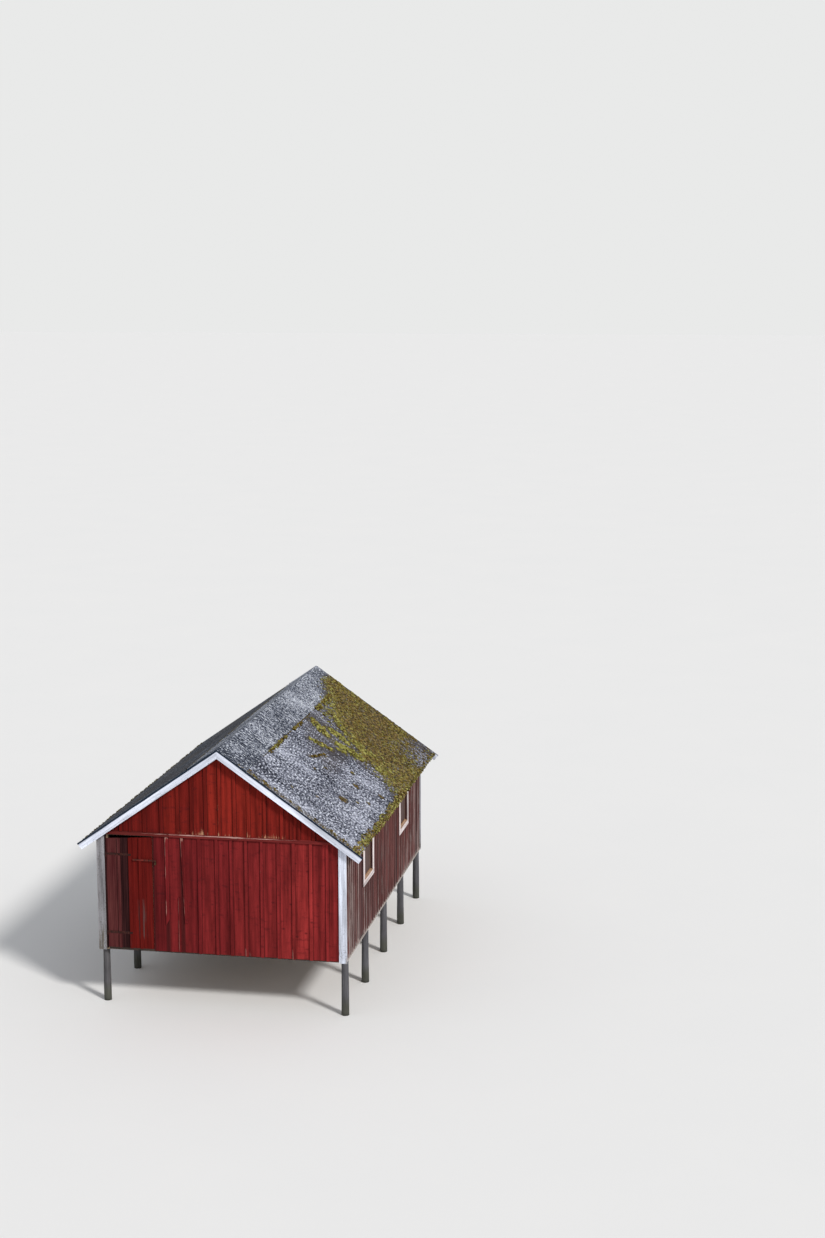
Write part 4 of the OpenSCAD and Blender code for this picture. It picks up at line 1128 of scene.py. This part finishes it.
blanket = Mesh("moss_blanket", 60)
CELL, FIELD_U, FIELD_Y, FIELD_W, FIELD_L = 0.024, 0.22, 3.15, 2.63, 3.78
numbers, height = {}, {}
columns, lines = int(FIELD_W / CELL), int(FIELD_L / CELL)
for i in range(columns):
    for j in range(lines):
        u, along = FIELD_U + i * CELL, FIELD_Y + j * CELL
        cover = moss_field(u, along)
        height[i, j] = min(0.014 * (cover - 0.35) + 0.008 * cover * rough(u * 16, along * 16, 3), 0.017)
for i in range(columns - 1):
    for j in range(lines - 1):
        ring = [(i, j), (i, j + 1), (i + 1, j + 1), (i + 1, j)]
        if max(height[c] for c in ring) <= 0:
            continue
        for c in ring:
            if c not in numbers:
                u, along = FIELD_U + c[0] * CELL, FIELD_Y + c[1] * CELL
                shift = 0.006 * wave(u * 30, along * 30, 3)
                v = moss_base(u) - max(height[c], -0.003)
                u, y = u + shift, min(along + Y0 + shift, ROOF_Y1 - 0.001)
                numbers[c] = blanket.vertex(on_slope(u, v, y), (y, 0, u), 0.0, stain(u, along))
        blanket.faces.append(tuple(numbers[c] for c in ring[::-1]))
blanket.build(FELT_MAT, "roof_felt", soft=True)

EDGE_X = cad_high.x - 0.0015
# A cushion's rings of LUMP_SIDES points each: their share of its radius and of its height
LUMP_SIDES, LUMP_RINGS = 7, ((1.0, -0.15), (0.86, 0.42), (0.48, 0.86))


def lump(mesh, u, along, radius, high, tone, side=1, stretch=1.0, base=0.0, foot=1.0):
    """A low cushion of moss on a slope.

    base is how far below the felt's face it starts, and foot how dark the painted shade at its foot is.
    """
    draw, reach = mesh.draw, radius * 1.2 + 0.001
    y = min(max(along + Y0, ROOF_Y0 + reach), ROOF_Y1 - reach)
    turn = draw(0, 6)

    def inside(u, lift, y):
        p = on_slope(u, base - high * lift, y, side)
        p.x = side * min(side * p.x, EDGE_X)
        return p

    rings = []
    for share, lift in LUMP_RINGS:
        ring = []
        for k in range(LUMP_SIDES):
            a = turn + k * 2 * math.pi / LUMP_SIDES
            r = radius * share * draw(0.82, 1.15)
            p = inside(u + r * math.cos(a) * stretch, lift, y + r * math.sin(a))
            # Wear grows towards the cushion's foot: painted shade under it.
            ring.append(mesh.vertex(p, p, tone + draw(-0.08, 0.04), foot * (1.1 - 1.2 * lift)))
        rings.append(ring if side < 0 else ring[::-1])
    mesh.grid(rings, closed=True)
    p = inside(u, 1, y)
    top = mesh.vertex(p, p, tone)
    last = rings[-1]
    for k in range(LUMP_SIDES):
        mesh.faces.append((last[k], last[(k + 1) % LUMP_SIDES], top))


field_lumps = Mesh("moss_field_lumps", 61)
rng, draw = field_lumps.rng, field_lumps.draw
FIELD_LUMPS = 4300
made = 0
while made < FIELD_LUMPS:
    u, along = draw(0.25, 2.84), draw(3.0, 6.95)
    cover = moss_field(u, along)
    if rng.random() > cover * (0.55 + 0.9 * rough(u * 3, along * 3, 33)):
        continue
    edge = smooth(1.0, 0.0, along - moss_edge(u))
    tone = 0.05 + 0.3 * rng.random() + (0.38 if rng.random() < 0.16 + 0.44 * edge else 0)
    lump(field_lumps, u, along, draw(0.008, 0.024), draw(0.006, 0.017), tone,
         stretch=draw(1, 1.8), base=moss_base(u))
    made += 1
field_lumps.build(MOSS, "roof_felt", soft=True)

lumps = Mesh("moss_clumps", 62)
rng, draw = lumps.rng, lumps.draw
JOINT_U = 0.604
HOUSE_L = (-0.05, 6.9)
STRIP_LUMPS, EAVE_LUMPS, VERGE_LUMPS, LEFT_LUMPS = 260, 420, 16, 420


def grow(u, along, radii, heights, tones, stretch=None, **kind):
    """A lump of random size and stretch in one of the tones."""
    lump(lumps, u, along, draw(*radii), draw(*heights), rng.choice(tones),
         stretch=draw(*stretch) if stretch else 1.0, **kind)


for u0, u1, y0, y1, half, tone in CLUMPS:
    tones = [tone * t for t in (0.3, 0.42, 0.52, 0.62, 0.7)]
    for _ in range(int(1500 * (u1 - u0 + half) * half)):
        f, across = draw(-0.05, 1.05), draw(-1, 1)
        slim = half * math.sin(math.pi * (0.16 + 0.68 * clamp(f))) * (1 + 0.5 * wave(f * 4, u0 * 9, 2))
        mound = 0.022 * (1 - across * across) * min(1, half / 0.1)
        grow(u0 + (u1 - u0) * f, y0 + (y1 - y0) * f + across * slim, (0.01, 0.028), (0.01, 0.022), tones,
             (1.0, 1.6), base=-mound, foot=0.35)
for a, b in JOINT_MOSS:
    thick = 0.022 if b < 4.5 else 0.045
    for _ in range(int((b - a) * 4600 * thick)):
        u = JOINT_U + abs(rng.gauss(0, thick)) - thick * 0.6 * (rng.random() < 0.4)
        grow(u, draw(a, b), (0.01, 0.026), (0.012, 0.028), (0.05, 0.1, 0.2, 0.3, 0.6))
for _ in range(STRIP_LUMPS):
    lump(lumps, STRIP_U + draw(0, 0.012), draw(0.9, 6.6), draw(0.005, 0.012), 0.008, draw(0.05, 0.3))
for middle, half, tone in EAVE_MOSS:
    lip = 0.026 * smooth(0.9, 1.6, middle) - 0.016 * smooth(1.3, 0.9, middle)
    tones = (tone, tone, tone - 0.25, 0.15, 0.25, 0.86, 0.92)
    for _ in range(int(half * 420)):
        across = draw(-1, 1)
        bulge = 1 - across * across
        u = U_EAVE - 0.008 + lip - (0.075 + 0.075 * bulge) * rng.random() ** 1.1
        over = max(0, u - U_EAVE + 0.01)
        grow(u, middle + across * (half + 0.05), (0.009, 0.022), (0.008, 0.02), tones,
             base=over * 0.7 - (0.004 + 0.4 * max(lip, 0)) * bulge, foot=0.6)
for _ in range(EAVE_LUMPS):
    along = draw(*HOUSE_L)
    u = U_EAVE + 0.006 - abs(rng.gauss(0, 0.04))
    grow(u, along, (0.006, 0.02), (0.006, 0.018), (0.1, 0.25, 0.4, 0.82))
for u1, y1, r in SPOTS:
    for _ in range(int(3000 * r * r) + 5):
        a, d = draw(0, 6.28), r * math.sqrt(rng.random())
        u, along = u1 + d * math.cos(a), y1 + d * math.sin(a)
        grow(u, along, (0.007, 0.018), (0.006, 0.016), (0.1, 0.3, 0.85, 0.95))
for place in VERGE_MOSS:
    for _ in range(VERGE_LUMPS):
        u = place + rng.gauss(0, 0.035)
        grow(u, -0.105 + abs(rng.gauss(0, 0.045)), (0.006, 0.014), (0.005, 0.012), (0.05, 0.2, 0.85, 0.95))
# The left slope: under the strip, and about a third of them by the eave
for _ in range(LEFT_LUMPS):
    u = JOINT_U + abs(rng.gauss(0, 0.02)) + 2.2 * (rng.random() < 0.3)
    lump(lumps, u, draw(*HOUSE_L), draw(0.008, 0.022), draw(0.006, 0.016), draw(0.1, 0.5), -1)
lumps.build(MOSS, "roof_felt", soft=True)


# Posts

def log(mesh, cx, cy, foot_r, top_r, high, around=26, up=14):
    """One peeled log with a few drying cracks."""
    rng, draw = mesh.rng, mesh.draw
    tone, phase = rng.random(), draw(0, 50)
    cracks = {rng.randrange(around): draw(0.3, 0.9) for _ in range(3)}
    rows = []
    for k in range(up + 1):
        f = k / up
        z = f * high
        row = []
        for a in range(around):
            t = 2 * math.pi * a / around
            c, s = math.cos(t), math.sin(t)
            r = foot_r + (top_r - foot_r) * f - 0.0035 * (1 + wave(c * 1.5 + phase, s * 1.5, z * 2.5))
            r -= 0.0015 * (1 + wave(c * 9 + phase, s * 9, z * 3))
            if a in cracks:
                r -= 0.011 * smooth(0, 0.15, f) * smooth(1.05, cracks[a], f)
            row.append(mesh.vertex(point(cx + r * c, cy + r * s, z), (t * 0.08, phase, z), tone))
        rows.append(row)
    mesh.tube(rows)


POSTS, TAPER = 5, 0.0075
for side, word in SIDES:
    logs = Mesh("log_posts_" + word, 70 + side)
    low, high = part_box("posts_" + word)
    foot_r = (high.x - low.x) / 2
    for i in range(POSTS):
        cy = low.y + foot_r + i * (high.y - low.y - 2 * foot_r) / (POSTS - 1)
        log(logs, (low.x + high.x) / 2, cy, foot_r, foot_r - TAPER, high.z)
    logs.build(POST, "posts", "posts_" + word, soft=True)

# Floor
floor_low, floor_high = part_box("floor")
floor = Mesh("floor_planks", 80)
joints = split(floor_low.x, floor_high.x, 0.14, floor.draw)
for a, b in zip(joints, joints[1:]):
    floor.board(point((a + b) / 2, 0, floor_low.z), X, Z, Y, b - a - 0.003, FLOOR_T, floor_low.y,
                floor_high.y, step=1.0)
floor.build(FLOOR_WOOD, "bare_timber", "floor")

# Boat doors
boats = Mesh("boat_door_planks", 81)
boat_iron = Mesh("boat_door_straps", 82)
DOOR_RISE = 0.05
HINGE_TOP = door_high.z - DOOR_RISE
STRAPS = (door_low.z + 0.26, HINGE_TOP - 0.26)
STRAP_HALF, STRAP_T, STRAP_NAIL = 0.02, 0.004, (0.007, 0.003)
# Battens are cut this far below and above the middle of a strap
BOAT_CUT, DOOR_CUT = 0.022, 0.0205
STRAP = [(-STRAP_HALF, 0), (STRAP_HALF, 0), (STRAP_HALF, STRAP_T), (-STRAP_HALF, STRAP_T)]
KNUCKLE = [(0.01 * math.cos(k * math.pi / 5), 0.01 * math.sin(k * math.pi / 5)) for k in range(10)]
MEET_X, LEDGE_X0, LEDGE_X1 = 0.003, 0.075, 1.174
x0, x1 = MEET_X, boat_high.x
joints = [x0 + (x1 - x0) * k / 5 for k in range(6)]
ledge_half = (LEDGE_X1 - x0 - LEDGE_X0) / 2
for side in (-1, 1):
    for a, b in zip(joints, joints[1:]):
        boats.board(point(side * (a + b) / 2, FRAME_Y1), X, Y, Z, b - a - 0.002, BOARD, boat_low.z,
                    boat_high.z, None, foot_wear)
    for x in joints[1:-1]:
        z = boat_low.z
        for top in (STRAPS[0] - BOAT_CUT, STRAPS[1] - BOAT_CUT, boat_high.z):
            boats.board(point(side * x, Y1), X, Y, Z, BATTEN_W, 0.02, z, top, None, foot_wear)
            z = top + 2 * BOAT_CUT
    for z in STRAPS:
        boats.board(point(side * (x0 + LEDGE_X0 + LEDGE_X1) / 2, FRAME_Y1, z), Z, -Y, X, LEDGE_W, LEDGE_T,
                    -ledge_half, ledge_half)
        boat_iron.board(point(side * x1, Y1, z), Z, Y, -side * X, 2 * STRAP_HALF, STRAP_T, -0.045, 0.7,
                        0.5, 0, STRAP, 0.2, 0)
        for k in range(6):
            place = point(side * (x1 - 0.05 - 0.12 * k), Y1 + STRAP_T, z + 0.008 * (-1) ** k)
            boat_iron.nail(place, Y, *STRAP_NAIL)
        boat_iron.board(point(side * (x1 + DOOR_GAP), Y1 + 0.01), X, Y, Z, 0.02, 0.02, z - 0.03, z + 0.03,
                        0.5, 0, KNUCKLE, 0.2, 0)
boats.build(RED, "red_boards", "boat_doors")
boat_iron.build(PAINTED_IRON, "iron")


# Door

def door_top(x):
    """The door's top runs up to the lock side."""
    return HINGE_TOP + DOOR_RISE * (x - door_low.x) / (door_high.x - door_low.x)


def door_wear(p, u, v, w):
    """A bare grey patch low on the lock side."""
    side = smooth(0.13, 0.02, abs(p.x + 1.35))
    patch = side * smooth(1.0, 1.2, p.z) * smooth(1.98, 1.75, p.z)
    return 0.06 + 0.6 * patch


def rubbed(base, edge):
    """Wear of a door batten, more on its left edge."""
    return lambda p, u, v, w: base + edge * smooth(-0.004, -0.02, u)


door = Mesh("door_planks", 90)
covers = Mesh("door_cover_battens", 91)
ledges = Mesh("door_ledge_boards", 92)
DOOR_W, BATTENS_AT = 0.78, (0.2145, 0.4017, 0.578)
DOOR_JOINTS = [door_low.x + d for d in BATTENS_AT]
LOCK_JOINT = DOOR_JOINTS[2] + 0.45 * (DOOR_W - BATTENS_AT[2])
DOOR_EDGES = [door_low.x] + DOOR_JOINTS + [LOCK_JOINT, door_low.x + DOOR_W]
for a, b, tone in zip(DOOR_EDGES, DOOR_EDGES[1:], (0.18, 0.0, 0.8, 0.75, 0.7)):
    mid = (a + b) / 2
    door.board(point(mid, door_high.y), X, -Y, Z, b - a - 0.002, BOARD, door_low.z,
               lambda u, v: door_top(mid + u), tone, door_wear, step=0.12)
door.build(DOOR_RED, "red_boards", "door_leaf", body="door")

# The first two battens are cut out round the straps, and the hasp has a short one of its own
leaf_face = door_low.y
STRAP_CUTS = (STRAPS[0] - DOOR_CUT, STRAPS[1] - DOOR_CUT)
for x, cuts, tone, base, edge in zip(DOOR_JOINTS, (STRAP_CUTS, STRAP_CUTS, ()), (0.24, 0.7, 0.75),
                                     (0.12, 0.1, 0.08), (0.34, 0.16, 0.1)):
    z = door_low.z
    for top in cuts + (TALL,):
        covers.board(point(x, leaf_face), X, -Y, Z, BATTEN_W - 0.003, BATTEN, z,
                     lambda u, v: min(top, door_top(x + u)), tone, rubbed(base, edge), step=0.12)
        z = top + 2 * DOOR_CUT
hasp_mid, hasp_half = (low_of("hasp").z + high_of("hasp").z) / 2, 0.026
covers.board(point(door_high.x - BATTEN_W / 2, leaf_face), X, -Y, Z, BATTEN_W - CLEAR, BATTEN,
             hasp_mid - hasp_half, hasp_mid + hasp_half, 0.6, 0.2)
covers.build(DOOR_RED, "red_boards", "door_battens", body="door")

ledge_low, ledge_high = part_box("door_ledges")
ledge_mid = (ledge_low.x + ledge_high.x) / 2
for z in STRAPS:
    ledges.board(point(ledge_mid, door_high.y, z), Z, Y, X, LEDGE_W, LEDGE_T, ledge_low.x - ledge_mid,
                 ledge_high.x - ledge_mid)
BRACE_IN, BRACE_W = 0.06, 0.105
foot_x, head_x = ledge_low.x + BRACE_IN, ledge_high.x - BRACE_IN
run = point(head_x - foot_x, 0, STRAPS[1] - STRAPS[0]).normalized()
cross = point(run.z, 0, -run.x)
rise = STRAPS[1] - STRAPS[0] - LEDGE_W
ledges.board(point(foot_x, door_high.y, STRAPS[0]) + run * (LEDGE_W / 2 / run.z), cross, Y, run, BRACE_W,
             LEDGE_T, lambda u, v: u * run.x / run.z, lambda u, v: (rise + u * run.x) / run.z, 0.4, 0.1)
ledges.build(RED, "red_boards", "door_ledges", body="door")
for z in STRAPS:
    for k in range(4):
        place = point(door_low.x + 0.05 + 0.095 * k, leaf_face - STRAP_T, z + 0.008 * (-1) ** k)
        door_nails.nail(place, -Y, *STRAP_NAIL)
DOOR_NAILS = (1.05, 1.6, 2.1, 2.76)
for x in DOOR_JOINTS:
    for z in DOOR_NAILS:
        door_nails.nail(point(x, leaf_face - BATTEN + HAIR, z), -Y)
nails.build(IRON, "iron")
door_nails.build(IRON, "iron", body="door")

# Stage, light and camera
plain = bpy.data.meshes.new("stage_floor")
plain.from_pydata([(-150, -120, 0), (150, -120, 0), (150, 300, 0), (-150, 300, 0)], [], [(0, 1, 2, 3)])
stage = bpy.data.objects.new("stage_floor", plain)
bpy.context.scene.collection.objects.link(stage)
pale = Shader("pale floor", 0.95, specular=0.1)
plain.materials.append(pale.finish(pale.mix(pale.noise(pale.place(), 0.4), (0.815, 0.815, 0.815),
                                            (0.84, 0.835, 0.83))))
stage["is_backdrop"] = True

# The world is one colour where the camera or a mirror sees it, and another where it lights
world = bpy.data.worlds.new("studio")
bpy.context.scene.world = world
world.use_nodes = True
tree = world.node_tree
tree.nodes.clear()
out = tree.nodes.new("ShaderNodeOutputWorld")
blend = tree.nodes.new("ShaderNodeMixShader")
for socket, colour, strength in ((1, (0.93, 0.96, 1.0, 1), 0.52), (2, (0.815, 0.82, 0.815, 1), 1.0)):
    light = tree.nodes.new("ShaderNodeBackground")
    light.inputs["Color"].default_value = colour
    light.inputs["Strength"].default_value = strength
    tree.links.new(light.outputs[0], blend.inputs[socket])
path = tree.nodes.new("ShaderNodeLightPath")
seen = path.outputs["Is Camera Ray"]
for ray in ("Is Glossy Ray", "Is Transmission Ray"):
    either = tree.nodes.new("ShaderNodeMath")
    either.operation = "MAXIMUM"
    tree.links.new(seen, either.inputs[0])
    tree.links.new(path.outputs[ray], either.inputs[1])
    seen = either.outputs[0]
tree.links.new(seen, blend.inputs[0])
tree.links.new(blend.outputs[0], out.inputs["Surface"])

sun = bpy.data.lights.new("key", "SUN")
sun.energy, sun.angle, sun.color = 2.7, math.radians(9), (1.0, 0.975, 0.94)
key = bpy.data.objects.new("key", sun)
key.rotation_mode = "QUATERNION"
key.rotation_quaternion = point(1.2, -1, 1.15).to_track_quat("Z", "Y")
bpy.context.scene.collection.objects.link(key)

# The camera's place and angles come from the photo's roof and wall lines
lens = bpy.data.cameras.new("camera")
lens.lens, lens.sensor_width = 60.28, 36
lens.clip_end = 1000
camera = bpy.data.objects.new("camera", lens)
bpy.context.scene.collection.objects.link(camera)
eye = point(9.02, Y0 - 31.44, FOOT + 11.27)
down, turned, roll = math.radians(9.9), math.radians(10.51), math.radians(-0.1)
camera.matrix_world = (Matrix.Translation(eye) @ Matrix.Rotation(turned, 4, "Z")
                       @ Matrix.Rotation(math.pi / 2 - down, 4, "X") @ Matrix.Rotation(roll, 4, "Z"))
bpy.context.scene.camera = camera
bpy.context.scene.view_settings.view_transform = "Standard"

low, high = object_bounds()
